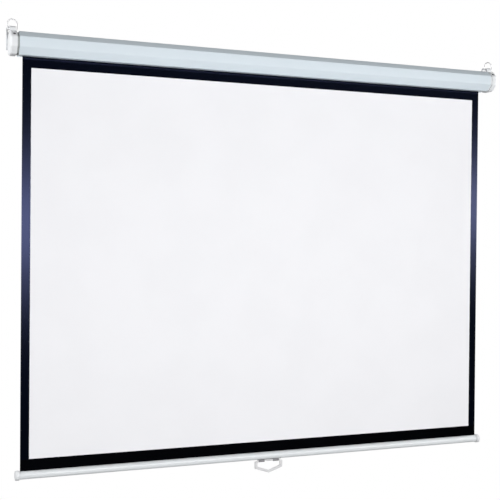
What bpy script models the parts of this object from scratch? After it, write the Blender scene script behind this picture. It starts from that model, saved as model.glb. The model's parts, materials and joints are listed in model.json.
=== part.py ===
"""Pull-down projector screen with an octagonal case, a spring roller and a weighted bottom bar.

The wall is the plane Y = 0 and the viewer stands at -Y. X runs along the case and Z is up.
The origin is the centre of the case's flat back. The screen is modelled drawn right down.
"""
import math

import bmesh
import bpy

OBJECT_NAME = "pull_down_projector_screen"
CUTTERS_NAME = "cutters"

# Fits between pieces
TOUCH_GAP = 0.0003
RUNNING_GAP = 0.0004
CUT_MARGIN = 0.003
JOIN_DEPTH = 0.002

# Number of facets on round pieces
ROUND_STEPS = 32
SMALL_STEPS = 20
BEND_STEPS = 3

# Picture area and the sheet around it
PICTURE_WIDTH = 1.600
PICTURE_HEIGHT = 1.200
SIDE_BORDER = 0.027
TOP_BORDER = 0.032
BOTTOM_BORDER = 0.036
SHEET_THICKNESS = 0.0005
TURNS_LEFT_THICKNESS = 0.0007

# Case, folded from one steel sheet
CASE_OVERHANG = 0.0155
CASE_DEPTH = 0.080
CASE_HEIGHT = 0.070
CASE_BACK_BEVEL = 0.019
CASE_TOP_BEVEL = 0.018
CASE_LOW_BEVEL = 0.021
CASE_WALL = 0.0012
CASE_BEND_RADIUS = 0.003
SLOT_BACK_LEDGE = 0.002
SLOT_BACK_CLEARANCE = 0.004
SLOT_FRONT_CLEARANCE = 0.011
SLOT_LIP_HEIGHT = 0.005

# End caps
CAP_SPIGOT_LENGTH = 0.013
CAP_NECK_LENGTH = 0.0065
CAP_FLANGE_LENGTH = 0.0205
CAP_NECK_INSET = 0.0045
CAP_WALL = 0.0025
CAP_EDGE_RADIUS = 0.007
CAP_EDGE_STEPS = 4
CAP_CORNER_SPARE = 0.001
BOSS_WALL = 0.003
BOSS_END_GAP = 0.0085
BEARING_RADIUS = 0.007
BEARING_LENGTH = 0.015

# Screws
SCREW_SHANK_RADIUS = 0.0016
SCREW_HEAD_RADIUS = 0.0034
SCREW_HEAD_HEIGHT = 0.0018
SCREW_SOCKET_RADIUS = 0.0014
SCREW_SOCKET_DEPTH = 0.0009
CAP_SCREW_LENGTH = 0.006
CAP_SCREW_HEAD_RADIUS = 0.0042
CAP_SCREW_HEAD_HEIGHT = 0.0022
CAP_RECESS_RADIUS = 0.0055
CAP_RECESS_DEPTH = 0.0032
EAR_SCREW_LENGTH = 0.0095
EAR_SCREW_SPACING = 0.016
SHELL_SCREW_LENGTH = 0.006
SHELL_SCREW_HEAD_HEIGHT = 0.0010

# Wall ears
EAR_WIDTH = 0.016
EAR_THICKNESS = 0.002
EAR_RISE = 0.0245
EAR_FOOT = 0.014
EAR_OVERHANG = 0.003
KEYHOLE_RADIUS = 0.004
KEYHOLE_SLOT_RADIUS = 0.0023
KEYHOLE_HEIGHT = 0.0085
KEYHOLE_SLOT_RISE = 0.008

# Hanging rings and their lugs
LUG_WIDTH = 0.018
LUG_DEPTH = 0.014
LUG_HEIGHT = 0.018
LUG_END_INSET = 0.001
LUG_FROM_WALL = 0.038
RING_AXIS_HEIGHT = 0.0055
RING_WIRE_RADIUS = 0.0015
RING_SPACING = 0.029
RING_HEIGHT = 0.035
RING_FOOT_DEPTH = 0.006
RING_BEND_RADIUS = 0.003
RING_ARCH_STEPS = 14

# Roller
TUBE_RADIUS = 0.016
TUBE_WALL = 0.0013
TUBE_OVERHANG = 0.002
PLUG_DEPTH = 0.030
PLUG_RIM = 0.003
PLUG_RIM_PROUD = 0.0005
IDLE_PIN_RADIUS = 0.003
IDLE_PIN_DEPTH = 0.020

# Spring side of the roller
SPINDLE_RADIUS = 0.0035
SPINDLE_OVERRUN = 0.006
TANG_WIDTH = 0.0066
TANG_THICKNESS = 0.003
SPRING_RADIUS = 0.009
SPRING_WIRE_RADIUS = 0.0008
SPRING_LENGTH = 0.212
SPRING_TURNS = 21
SPRING_STEPS = 10
SPRING_COLLAR_RADIUS = 0.011
SPRING_COLLAR_RIM = 0.005
SPRING_NECK_LENGTH = 0.009
SPRING_ANCHOR_RIM = 0.008
COLLAR_SETBACK = 0.005

# Lock in the end of the roller
RATCHET_RADIUS = 0.007
RATCHET_THICKNESS = 0.004
PAWL_THICKNESS = 0.0025
PAWL_PIVOT_RADIUS = 0.0115
PAWL_EYE_RADIUS = 0.0024
PAWL_TIP_RADIUS = 0.0009
PAWL_REACH = 0.0075
PAWL_BITE_RADIUS = 0.0066
PAWL_PIN_RADIUS = 0.0012
PAWL_PIN_HEAD_RADIUS = 0.002
PAWL_PIN_HEAD_HEIGHT = 0.0008
PAWL_PIN_DEPTH = 0.004
PAWL_LIFT = math.radians(20.0)
NOTCH_CLEARANCE = 0.0004
NOTCH_CUTS = 3

# Bottom bar
BAR_RADIUS = 0.0125
BAR_WALL = 0.0013
BAR_SLOT_CLEARANCE = 0.00055
HEM_ROD_RADIUS = 0.0019
BAR_PLUG_RADIUS = 0.015
BAR_PLUG_LENGTH = 0.0125
BAR_PLUG_EDGE = 0.003
BAR_PLUG_NECK_LENGTH = 0.0022
BAR_PLUG_NECK_RADIUS = 0.0115
BAR_PLUG_SPIGOT = 0.020
BAR_PLUG_DISH = 0.001

# Handle and its clip
CLIP_LENGTH = 0.084
CLIP_THICKNESS = 0.001
CLIP_ARC = math.radians(40.0)
CLIP_EYE_OFFSET = 0.026
CLIP_EYE_LENGTH = 0.020
CLIP_EYE_WALL = 0.0016
CLIP_NECK_INSET = 0.0004
RIVET_OFFSET = 0.009
RIVET_HEAD_HEIGHT = 0.0007
RIVET_HEAD_RADIUS = 0.0026
RIVET_SHANK_RADIUS = 0.0015
HANDLE_CLEARANCE = 0.0005
HANDLE_THICKNESS = 0.0044
HANDLE_WIDTH = 0.100
HANDLE_ROD_LENGTH = 0.075
HANDLE_TOP_EDGE = 0.0014
HANDLE_SHOULDER_DROP = 0.002
HANDLE_SIDE_DROP = 0.025
HANDLE_POINT_DROP = 0.042
HANDLE_TOP_BAND = 0.005
HANDLE_SIDE_BAND = 0.009
HANDLE_GRIP_BAND = 0.0085
HANDLE_CORNER_RADIUS = 0.003

# Places that follow from the sizes
SHEET_WIDTH = PICTURE_WIDTH + 2 * SIDE_BORDER
CASE_LENGTH = SHEET_WIDTH + 2 * CASE_OVERHANG
CASE_BOTTOM = -CASE_HEIGHT / 2
CASE_TOP = CASE_HEIGHT / 2
CASE_MIDDLE_Y = -CASE_DEPTH / 2
SLOT_BACK = -CASE_BACK_BEVEL - SLOT_BACK_LEDGE
SHEET_Y = SLOT_BACK - SLOT_BACK_CLEARANCE
SLOT_FRONT = SHEET_Y - SLOT_FRONT_CLEARANCE
WOUND_RADIUS = TUBE_RADIUS + TOUCH_GAP + TURNS_LEFT_THICKNESS
ROLLER_Y = SHEET_Y - SHEET_THICKNESS / 2 - TOUCH_GAP - WOUND_RADIUS
ROLLER_Z = 0.0
PICTURE_BOTTOM = CASE_BOTTOM - TOP_BORDER - PICTURE_HEIGHT
BAR_Z = PICTURE_BOTTOM - BOTTOM_BORDER - BAR_RADIUS
SHELL_END = CASE_LENGTH / 2
NECK_END = SHELL_END + CAP_NECK_LENGTH
CAP_END = NECK_END + CAP_FLANGE_LENGTH
CAP_POCKET_INSET = CAP_NECK_INSET + CAP_WALL
BOSS_START = SHELL_END - CAP_SPIGOT_LENGTH + BOSS_END_GAP + PLUG_RIM
TUBE_END = SHEET_WIDTH / 2 + TUBE_OVERHANG
RIM_START = TUBE_END + TOUCH_GAP
RIM_END = RIM_START + PLUG_RIM
LOCK_START = RIM_END + TOUCH_GAP
PLUG_INNER_END = TUBE_END - PLUG_DEPTH
COLLAR_END = PLUG_INNER_END - COLLAR_SETBACK
SPRING_END = COLLAR_END - SPRING_COLLAR_RIM
SPRING_START = SPRING_END - SPRING_LENGTH
LUG_X = CAP_END - LUG_END_INSET - LUG_WIDTH / 2
LUG_Y = -LUG_FROM_WALL
RING_AXIS_Z = CASE_TOP + RING_AXIS_HEIGHT
EAR_X = CAP_END + EAR_OVERHANG - EAR_WIDTH / 2
HANDLE_DROP = (BAR_RADIUS + TOUCH_GAP + CLIP_THICKNESS + RIVET_HEAD_HEIGHT
               + HANDLE_CLEARANCE + HANDLE_THICKNESS / 2)
HANDLE_Z = BAR_Z - HANDLE_DROP

# Turns that lay a flat outline, or a shape turned about Z, along the case
ACROSS_CASE = (math.pi / 2, 0.0, math.pi / 2)
FACING_VIEWER = (math.pi / 2, 0.0, 0.0)
ALONG_X = (0.0, math.pi / 2, 0.0)
ALONG_MINUS_X = (0.0, -math.pi / 2, 0.0)
FROM_WALL = (math.pi / 2, 0.0, 0.0)
TO_WALL = (-math.pi / 2, 0.0, 0.0)


def clear_scene():
    """Remove every object of the open scene."""
    for item in list(bpy.data.objects):
        bpy.data.objects.remove(item, do_unlink=True)


def new_collection(name):
    """Make a collection in the scene."""
    collection = bpy.data.collections.new(name)
    bpy.context.scene.collection.children.link(collection)
    return collection


clear_scene()
PARTS = new_collection(OBJECT_NAME)
CUTTERS = new_collection(CUTTERS_NAME)


def make_material(name, color, roughness, metallic=0.0):
    """Make a plain material with one colour."""
    material = bpy.data.materials.new(name)
    material.use_nodes = True
    shader = material.node_tree.nodes["Principled BSDF"]
    shader.inputs["Base Color"].default_value = (*color, 1.0)
    shader.inputs["Roughness"].default_value = roughness
    shader.inputs["Metallic"].default_value = metallic
    return material


WHITE_PAINT = make_material("white_case_paint", (0.80, 0.83, 0.85), 0.38)
WHITE_PLASTIC = make_material("white_cap_plastic", (0.82, 0.83, 0.83), 0.45)
BLACK_SCREW = make_material("black_screw_finish", (0.02, 0.02, 0.022), 0.4, 0.6)
ZINC = make_material("zinc_plate", (0.62, 0.63, 0.63), 0.35, 1.0)
RING_STEEL = make_material("ring_steel", (0.50, 0.50, 0.50), 0.25, 1.0)
WHITE_SHEET = make_material("white_screen_face", (0.87, 0.87, 0.89), 0.9)
BLACK_SHEET = make_material("black_screen_border", (0.006, 0.008, 0.014), 0.7)
TUBE_STEEL = make_material("roller_tube_steel", (0.55, 0.56, 0.57), 0.4, 1.0)
NYLON = make_material("natural_nylon", (0.72, 0.70, 0.62), 0.5)
SPRING_STEEL = make_material("spring_steel", (0.24, 0.24, 0.25), 0.35, 1.0)
BAR_PAINT = make_material("white_bar_paint", (0.78, 0.80, 0.82), 0.35)
DARK_CLIP = make_material("dark_clip_plastic", (0.10, 0.10, 0.11), 0.5)
HANDLE_PLASTIC = make_material("white_handle_plastic", (0.86, 0.86, 0.86), 0.4)


def link_mesh(name, mesh, material, location=(0.0, 0.0, 0.0), rotation=(0.0, 0.0, 0.0)):
    """Put a mesh into the parts collection as a named object."""
    item = bpy.data.objects.new(name, mesh)
    item.location = location
    item.rotation_euler = rotation
    PARTS.objects.link(item)
    if material is not None:
        mesh.materials.append(material)
    return item


def as_cutter(item):
    """Move an object to the cutters, where it only shapes its neighbours."""
    PARTS.objects.unlink(item)
    CUTTERS.objects.link(item)
    item.hide_render = True
    item.display_type = "WIRE"
    return item


def smooth(item):
    """Shade a round piece smooth, with its real edges kept sharp."""
    item.data.shade_smooth()
    item.data.set_sharp_from_angle(angle=math.radians(30.0))
    return item


def box(name, low, high, material=None):
    """Make a box from its lowest to its highest corner."""
    size = [top - bottom for bottom, top in zip(low, high)]
    middle = [(top + bottom) / 2 for bottom, top in zip(low, high)]
    shape = bmesh.new()
    bmesh.ops.create_cube(shape, size=1.0)
    bmesh.ops.scale(shape, vec=size, verts=shape.verts)
    mesh = bpy.data.meshes.new(name)
    shape.to_mesh(mesh)
    shape.free()
    return link_mesh(name, mesh, material, middle)


def cylinder(name, radius, start, end, place, rotation, material=None, steps=ROUND_STEPS):
    """Make a cylinder between two distances from a place, along its turned Z axis."""
    shape = bmesh.new()
    bmesh.ops.create_cone(
        shape, cap_ends=True, cap_tris=False, segments=steps,
        radius1=radius, radius2=radius, depth=end - start)
    bmesh.ops.translate(shape, vec=(0.0, 0.0, (start + end) / 2), verts=shape.verts)
    mesh = bpy.data.meshes.new(name)
    shape.to_mesh(mesh)
    shape.free()
    return smooth(link_mesh(name, mesh, material, place, rotation))


def turned(name, profile, place, rotation, material=None, steps=ROUND_STEPS, closed=False):
    """Turn a profile of (radius, height) points, outer side from top to bottom, about Z."""
    mesh = bpy.data.meshes.new(name)
    points = [(radius, 0.0, height) for radius, height in profile]
    edges = [(index, index + 1) for index in range(len(points) - 1)]
    if closed:
        edges.append((len(points) - 1, 0))
    mesh.from_pydata(points, edges, [])
    item = link_mesh(name, mesh, material, place, rotation)
    screw = item.modifiers.new("turn", "SCREW")
    screw.axis = "Z"
    screw.angle = 2 * math.pi
    screw.steps = steps
    screw.render_steps = steps
    screw.use_merge_vertices = True
    screw.merge_threshold = 0.00001
    screw.use_smooth_shade = False
    return item


def curve_to_mesh(curve_item, material):
    """Replace a curve object by the closed mesh that it shows."""
    graph = bpy.context.evaluated_depsgraph_get()
    graph.update()
    mesh = bpy.data.meshes.new_from_object(curve_item.evaluated_get(graph))
    shape = bmesh.new()
    shape.from_mesh(mesh)
    bmesh.ops.remove_doubles(shape, verts=shape.verts, dist=0.000001)
    bmesh.ops.dissolve_limit(
        shape, angle_limit=math.radians(0.5), verts=shape.verts, edges=shape.edges)
    bmesh.ops.recalc_face_normals(shape, faces=shape.faces)
    shape.to_mesh(mesh)
    shape.free()
    name = curve_item.name
    place = curve_item.location.copy()
    rotation = curve_item.rotation_euler.copy()
    bpy.data.objects.remove(curve_item, do_unlink=True)
    mesh.name = name
    mesh.shade_flat()
    mesh.materials.clear()
    return link_mesh(name, mesh, material, place, rotation)


def plate(name, outline, thickness, place, rotation, material=None):
    """Make a flat piece from an outline, centred on its place across the thickness."""
    curve = bpy.data.curves.new(name, "CURVE")
    curve.dimensions = "2D"
    curve.fill_mode = "BOTH"
    curve.extrude = thickness / 2
    spline = curve.splines.new("POLY")
    spline.points.add(len(outline) - 1)
    for point, (across, up) in zip(spline.points, outline):
        point.co = (across, up, 0.0, 1.0)
    spline.use_cyclic_u = True
    item = bpy.data.objects.new(name, curve)
    item.location = place
    item.rotation_euler = rotation
    PARTS.objects.link(item)
    return curve_to_mesh(item, material)


def prism(name, outline, start, end, material=None):
    """Make a prism along X from an outline in Y and Z."""
    low, high = sorted((start, end))
    middle = (low + high) / 2
    return plate(name, outline, high - low, (middle, 0.0, 0.0), ACROSS_CASE, material)


def wire(name, points, radius, place, material, resolution=2):
    """Make a round wire along a path, with closed ends."""
    curve = bpy.data.curves.new(name, "CURVE")
    curve.dimensions = "3D"
    curve.bevel_depth = radius
    curve.bevel_resolution = resolution
    curve.use_fill_caps = True
    spline = curve.splines.new("POLY")
    spline.points.add(len(points) - 1)
    for point, position in zip(spline.points, points):
        point.co = (*position, 1.0)
    item = bpy.data.objects.new(name, curve)
    item.location = place
    PARTS.objects.link(item)
    return smooth(curve_to_mesh(item, material))


def folded_sheet(name, path, length, wall, material):
    """Make a sheet piece along X from an open path in Y and Z, thickened to its left."""
    shape = bmesh.new()
    row = [shape.verts.new((-length / 2, across, up)) for across, up in path]
    edges = [shape.edges.new(pair) for pair in zip(row[:-1], row[1:])]
    grown = bmesh.ops.extrude_edge_only(shape, edges=edges)
    moved = [part for part in grown["geom"] if isinstance(part, bmesh.types.BMVert)]
    bmesh.ops.translate(shape, vec=(length, 0.0, 0.0), verts=moved)
    mesh = bpy.data.meshes.new(name)
    shape.to_mesh(mesh)
    shape.free()
    item = link_mesh(name, mesh, material)
    solidify = item.modifiers.new("wall", "SOLIDIFY")
    solidify.thickness = wall
    solidify.offset = 1.0
    solidify.use_even_offset = True
    return item


def combine(target, tool, operation):
    """Cut a tool from a target, or join it to the target."""
    modifier = target.modifiers.new(operation.lower(), "BOOLEAN")
    modifier.operation = operation
    modifier.solver = "EXACT"
    modifier.object = as_cutter(tool)
    return target


def cut(target, *tools):
    """Cut each tool from the target."""
    for tool in tools:
        combine(target, tool, "DIFFERENCE")
    return target


def join(target, *tools):
    """Join each tool to the target."""
    for tool in tools:
        combine(target, tool, "UNION")
    return target


def joint_empty(name, location):
    """Make an empty on a joint's axis."""
    empty = bpy.data.objects.new(name, None)
    empty.location = location
    PARTS.objects.link(empty)
    return empty


def attach(empty, *items):
    """Hang pieces on an empty without moving them."""
    for item in items:
        item.parent = empty
        item.location = [place - base for place, base in zip(item.location, empty.location)]


def corner_arc(before, corner, after, radius, steps):
    """Return the points that round one corner of an outline."""
    back = [before[axis] - corner[axis] for axis in (0, 1)]
    ahead = [after[axis] - corner[axis] for axis in (0, 1)]
    back_length = math.hypot(*back)
    ahead_length = math.hypot(*ahead)
    back = [value / back_length for value in back]
    ahead = [value / ahead_length for value in ahead]
    half_angle = math.acos(max(-1.0, min(1.0, back[0] * ahead[0] + back[1] * ahead[1]))) / 2
    tangent = radius / math.tan(half_angle)
    middle = [back[axis] + ahead[axis] for axis in (0, 1)]
    middle_length = math.hypot(*middle)
    reach = radius / math.sin(half_angle)
    centre = [corner[axis] + middle[axis] / middle_length * reach for axis in (0, 1)]
    first = [corner[axis] + back[axis] * tangent - centre[axis] for axis in (0, 1)]
    last = [corner[axis] + ahead[axis] * tangent - centre[axis] for axis in (0, 1)]
    start = math.atan2(first[1], first[0])
    sweep = math.atan2(last[1], last[0]) - start
    sweep = (sweep + math.pi) % (2 * math.pi) - math.pi
    angles = [start + sweep * step / steps for step in range(steps + 1)]
    return [(centre[0] + radius * math.cos(angle), centre[1] + radius * math.sin(angle))
            for angle in angles]


def round_corners(points, radius, steps=BEND_STEPS, closed=True):
    """Round the corners of an outline, or the inner corners of an open path."""
    if radius <= 0.0:
        return list(points)
    count = len(points)
    rounded = []
    for index, corner in enumerate(points):
        if not closed and index in (0, count - 1):
            rounded.append(corner)
            continue
        rounded += corner_arc(points[index - 1], corner, points[(index + 1) % count], radius, steps)
    return rounded


def octagon(inset, radius=CASE_BEND_RADIUS):
    """Return the case's outline, moved inwards, in Y and Z, with corners of a radius."""
    half_depth = CASE_DEPTH / 2 - inset
    half_height = CASE_HEIGHT / 2 - inset
    trim = inset * (2 - math.sqrt(2))
    back, top, low = CASE_BACK_BEVEL - trim, CASE_TOP_BEVEL - trim, CASE_LOW_BEVEL - trim
    corners = [
        (half_depth, back - half_height), (half_depth, half_height - back),
        (half_depth - back, half_height), (top - half_depth, half_height),
        (-half_depth, half_height - top), (-half_depth, low - half_height),
        (low - half_depth, -half_height), (half_depth - back, -half_height)]
    placed = [(CASE_MIDDLE_Y + across, up) for across, up in corners]
    return round_corners(placed, radius - inset)


def countersunk_screw(name, head_radius, head_height, length, place, rotation, material):
    """Make a flat-headed screw whose head's top is at its place, with a driver socket."""
    screw = turned(
        name,
        [(0.0, 0.0), (head_radius, 0.0), (SCREW_SHANK_RADIUS, -head_height),
         (SCREW_SHANK_RADIUS, -length), (0.0, -length - SCREW_SHANK_RADIUS)],
        place, rotation, material, SMALL_STEPS)
    socket = cylinder(
        f"{name}_socket", SCREW_SOCKET_RADIUS, -SCREW_SOCKET_DEPTH, CUT_MARGIN,
        place, rotation, steps=6)
    return cut(screw, socket)


def countersink(name, head_radius, head_height, length, place, rotation):
    """Make the cutter for the hole that a flat-headed screw sits in."""
    mouth = head_radius + TOUCH_GAP
    shank = SCREW_SHANK_RADIUS + TOUCH_GAP
    slope = (mouth - shank) / head_height
    return turned(
        name,
        [(0.0, CUT_MARGIN), (mouth + slope * CUT_MARGIN, CUT_MARGIN), (shank, -head_height),
         (shank, -length - CUT_MARGIN), (0.0, -length - CUT_MARGIN)],
        place, rotation, None, SMALL_STEPS)


def build_case_shell():
    """Fold the octagonal case, open at the slot, with a stiffening lip at each slot edge."""
    bottom, top = CASE_BOTTOM, CASE_TOP
    front = -CASE_DEPTH
    path = [
        (SLOT_BACK, bottom + SLOT_LIP_HEIGHT), (SLOT_BACK, bottom), (-CASE_BACK_BEVEL, bottom),
        (0.0, bottom + CASE_BACK_BEVEL), (0.0, top - CASE_BACK_BEVEL), (-CASE_BACK_BEVEL, top),
        (front + CASE_TOP_BEVEL, top), (front, top - CASE_TOP_BEVEL),
        (front, bottom + CASE_LOW_BEVEL), (front + CASE_LOW_BEVEL, bottom),
        (SLOT_FRONT, bottom), (SLOT_FRONT, bottom + SLOT_LIP_HEIGHT)]
    folded = path[:2] + round_corners(path[2:-2], CASE_BEND_RADIUS, closed=False) + path[-2:]
    shell = folded_sheet("case_shell", folded, CASE_LENGTH, CASE_WALL, WHITE_PAINT)
    for side, sign in (("left", -1), ("right", 1)):
        place = (sign * shell_screw_x(), 0.0, 0.0)
        cut(shell, countersink(
            f"shell_screw_hole_{side}", SCREW_HEAD_RADIUS, SHELL_SCREW_HEAD_HEIGHT,
            SHELL_SCREW_LENGTH, place, TO_WALL))
    return shell


def shell_screw_x():
    """Return how far from the middle the screws through the case's back are."""
    return SHELL_END - CAP_SPIGOT_LENGTH / 2


def build_shell_screw(side, sign):
    """Make the flush screw that holds the case's back to an end cap's spigot."""
    place = (sign * shell_screw_x(), 0.0, 0.0)
    return countersunk_screw(
        f"shell_screw_{side}", SCREW_HEAD_RADIUS, SHELL_SCREW_HEAD_HEIGHT,
        SHELL_SCREW_LENGTH, place, TO_WALL, ZINC)


def build_end_cap(side, sign):
    """Make an end cap: flange, groove, spigot, ring lug, bearing boss and screw recesses."""
    outline = octagon(0.0, CAP_EDGE_RADIUS + CAP_CORNER_SPARE)
    cap = prism(f"end_cap_{side}", outline, sign * NECK_END, sign * CAP_END, WHITE_PLASTIC)
    round_outer_rim(cap, sign)
    cut(cap, build_ear_seat(side, sign), *build_flange_holes(side, sign))
    spigot = prism(
        f"spigot_{side}", octagon(CASE_WALL + TOUCH_GAP),
        sign * (SHELL_END - CAP_SPIGOT_LENGTH), sign * SHELL_END)
    neck = prism(
        f"neck_{side}", octagon(CAP_NECK_INSET),
        sign * (SHELL_END - JOIN_DEPTH), sign * (NECK_END + JOIN_DEPTH))
    join(cap, neck, spigot, build_lug(side, sign))
    pocket = prism(
        f"cap_pocket_{side}", octagon(CAP_POCKET_INSET),
        sign * (SHELL_END - CAP_SPIGOT_LENGTH - CUT_MARGIN), sign * (CAP_END - CAP_WALL))
    cut(cap, pocket, build_slot_notch(side, sign))
    axis = (0.0, ROLLER_Y, ROLLER_Z)
    boss_radius = BEARING_RADIUS + TOUCH_GAP + BOSS_WALL
    along = ALONG_X if sign > 0 else ALONG_MINUS_X
    boss = cylinder(
        f"boss_{side}", boss_radius, BOSS_START, CAP_END - CAP_WALL / 2, axis, along)
    bore = cylinder(
        f"boss_bore_{side}", BEARING_RADIUS + TOUCH_GAP, BOSS_START - CUT_MARGIN,
        BOSS_START + TOUCH_GAP * 2 + BEARING_LENGTH, axis, along)
    join(cap, boss)
    return cut(cap, bore, build_shell_pilot(side, sign))


def round_outer_rim(cap, sign):
    """Round the rim around the cap's outer face."""
    shape = bmesh.new()
    shape.from_mesh(cap.data)
    end = sign * CAP_FLANGE_LENGTH / 2
    rim = [edge for edge in shape.edges
           if all(abs(vert.co.z - end) < TOUCH_GAP / 10 for vert in edge.verts)]
    bmesh.ops.bevel(
        shape, geom=rim, offset=CAP_EDGE_RADIUS, offset_type="OFFSET",
        segments=CAP_EDGE_STEPS, profile=0.5, affect="EDGES", clamp_overlap=False)
    bmesh.ops.recalc_face_normals(shape, faces=shape.faces)
    shape.to_mesh(cap.data)
    shape.free()


def build_lug(side, sign):
    """Make the round-topped lug that carries the hanging ring, with its bore."""
    half = LUG_DEPTH / 2
    spring_line = CASE_TOP + LUG_HEIGHT - half
    arch = [(LUG_Y + half * math.cos(angle), spring_line + half * math.sin(angle))
            for angle in (math.pi * step / RING_ARCH_STEPS for step in range(RING_ARCH_STEPS + 1))]
    foot = CASE_TOP - CAP_EDGE_RADIUS - JOIN_DEPTH
    outline = [(LUG_Y + half, foot)] + arch + [(LUG_Y - half, foot)]
    inner = LUG_X - LUG_WIDTH / 2
    lug = prism(f"lug_{side}", outline, sign * inner, sign * (inner + LUG_WIDTH))
    bore = cylinder(
        f"lug_bore_{side}", RING_WIRE_RADIUS + RUNNING_GAP, -LUG_WIDTH, LUG_WIDTH,
        (sign * LUG_X, LUG_Y, RING_AXIS_Z), ALONG_X, steps=SMALL_STEPS)
    return cut(lug, bore)


def build_slot_notch(side, sign):
    """Make the cutter that keeps the spigot clear of the slot's lips."""
    inner = SHELL_END - CAP_SPIGOT_LENGTH - CUT_MARGIN
    low_x, high_x = sorted((sign * inner, sign * (SHELL_END + TOUCH_GAP)))
    return box(
        f"slot_notch_{side}",
        (low_x, SLOT_FRONT - CASE_WALL - TOUCH_GAP, CASE_BOTTOM - CUT_MARGIN),
        (high_x, SLOT_BACK + CASE_WALL + SLOT_BACK_LEDGE, CASE_BOTTOM + CAP_POCKET_INSET + TOUCH_GAP))


def cap_screw_place(sign):
    """Return the middle of the cap's upper front bevel."""
    across = NECK_END + (CAP_FLANGE_LENGTH - CAP_EDGE_RADIUS / 2) / 2
    return (sign * across, CASE_TOP_BEVEL / 2 - CASE_DEPTH, CASE_TOP - CASE_TOP_BEVEL / 2)


def build_ear_seat(side, sign):
    """Make the cutter for the seat of the wall ear, open at the cap's outer end."""
    inner = EAR_X - EAR_WIDTH / 2 - TOUCH_GAP
    low_x, high_x = sorted((sign * inner, sign * (CAP_END + CUT_MARGIN)))
    return box(
        f"ear_seat_{side}",
        (low_x, -EAR_THICKNESS - TOUCH_GAP, -EAR_FOOT - TOUCH_GAP),
        (high_x, CUT_MARGIN, CASE_TOP + CUT_MARGIN))


def build_flange_holes(side, sign):
    """Make the cutters for the screw recess in the flange and for the wall ear's screws."""
    rotation = (math.pi / 4, 0.0, 0.0)
    place = cap_screw_place(sign)
    holes = [
        cylinder(
            f"screw_recess_{side}", CAP_RECESS_RADIUS, -CAP_RECESS_DEPTH, CUT_MARGIN,
            place, rotation),
        cylinder(
            f"screw_pilot_{side}", SCREW_SHANK_RADIUS + TOUCH_GAP,
            -CAP_RECESS_DEPTH - CAP_SCREW_LENGTH - CUT_MARGIN, 0.0, place, rotation,
            steps=SMALL_STEPS)]
    for level, height in ear_screw_levels():
        holes.append(cylinder(
            f"ear_screw_pilot_{side}_{level}", SCREW_SHANK_RADIUS + TOUCH_GAP,
            -EAR_SCREW_LENGTH - CUT_MARGIN, 0.0, (sign * ear_screw_x(), 0.0, height),
            TO_WALL, steps=SMALL_STEPS))
    return holes


def build_shell_pilot(side, sign):
    """Make the cutter for the hole in the spigot that the case's screw bites into."""
    return cylinder(
        f"shell_screw_pilot_{side}", SCREW_SHANK_RADIUS + TOUCH_GAP,
        -SHELL_SCREW_LENGTH - CUT_MARGIN, 0.0, (sign * shell_screw_x(), 0.0, 0.0),
        TO_WALL, steps=SMALL_STEPS)


def build_cap_screw(side, sign):
    """Make the dark screw at the bottom of the recess in the cap's upper front bevel."""
    rotation = (math.pi / 4, 0.0, 0.0)
    seat = -CAP_RECESS_DEPTH + TOUCH_GAP
    name = f"cap_screw_{side}"
    screw = turned(
        name,
        [(0.0, seat + CAP_SCREW_HEAD_HEIGHT), (CAP_SCREW_HEAD_RADIUS, seat + CAP_SCREW_HEAD_HEIGHT),
         (CAP_SCREW_HEAD_RADIUS, seat), (SCREW_SHANK_RADIUS, seat),
         (SCREW_SHANK_RADIUS, seat - CAP_SCREW_LENGTH), (0.0, seat - CAP_SCREW_LENGTH)],
        cap_screw_place(sign), rotation, BLACK_SCREW, SMALL_STEPS)
    top = seat + CAP_SCREW_HEAD_HEIGHT
    socket = cylinder(
        f"{name}_socket", SCREW_SOCKET_RADIUS, top - SCREW_SOCKET_DEPTH, top + CUT_MARGIN,
        cap_screw_place(sign), rotation, steps=6)
    return cut(screw, socket)


def ear_screw_levels():
    """Return the name and height of each screw that holds a wall ear."""
    return (("upper", EAR_SCREW_SPACING / 2), ("lower", -EAR_SCREW_SPACING / 2))


def ear_screw_x():
    """Return how far from the middle the wall ears' screws are."""
    return EAR_X - EAR_OVERHANG / 2


def build_wall_ear(side, sign):
    """Make the steel ear behind an end cap, with a keyhole for a wall screw above it."""
    half = EAR_WIDTH / 2
    top = CASE_TOP + EAR_RISE
    arch = [(half * math.cos(angle), top - half + half * math.sin(angle))
            for angle in (math.pi * step / RING_ARCH_STEPS for step in range(RING_ARCH_STEPS + 1))]
    outline = [(half, -EAR_FOOT)] + arch + [(-half, -EAR_FOOT)]
    ear = plate(
        f"wall_ear_{side}", outline, EAR_THICKNESS, (sign * EAR_X, -EAR_THICKNESS / 2, 0.0),
        FACING_VIEWER, ZINC)
    hole_z = CASE_TOP + KEYHOLE_HEIGHT
    keyhole = cylinder(
        f"keyhole_{side}", KEYHOLE_RADIUS, -CUT_MARGIN, EAR_THICKNESS + CUT_MARGIN,
        (sign * EAR_X, 0.0, hole_z), FROM_WALL)
    slot_top = hole_z + KEYHOLE_SLOT_RISE
    slot_end = cylinder(
        f"keyhole_slot_end_{side}", KEYHOLE_SLOT_RADIUS, -CUT_MARGIN, EAR_THICKNESS + CUT_MARGIN,
        (sign * EAR_X, 0.0, slot_top), FROM_WALL, steps=SMALL_STEPS)
    slot = box(
        f"keyhole_slot_{side}",
        (sign * EAR_X - KEYHOLE_SLOT_RADIUS, -EAR_THICKNESS - CUT_MARGIN, hole_z),
        (sign * EAR_X + KEYHOLE_SLOT_RADIUS, CUT_MARGIN, slot_top))
    cut(ear, keyhole, slot_end, slot)
    for level, height in ear_screw_levels():
        cut(ear, countersink(
            f"ear_screw_hole_{side}_{level}", SCREW_HEAD_RADIUS, SCREW_HEAD_HEIGHT,
            EAR_SCREW_LENGTH, (sign * ear_screw_x(), 0.0, height), TO_WALL))
    return ear


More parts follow.
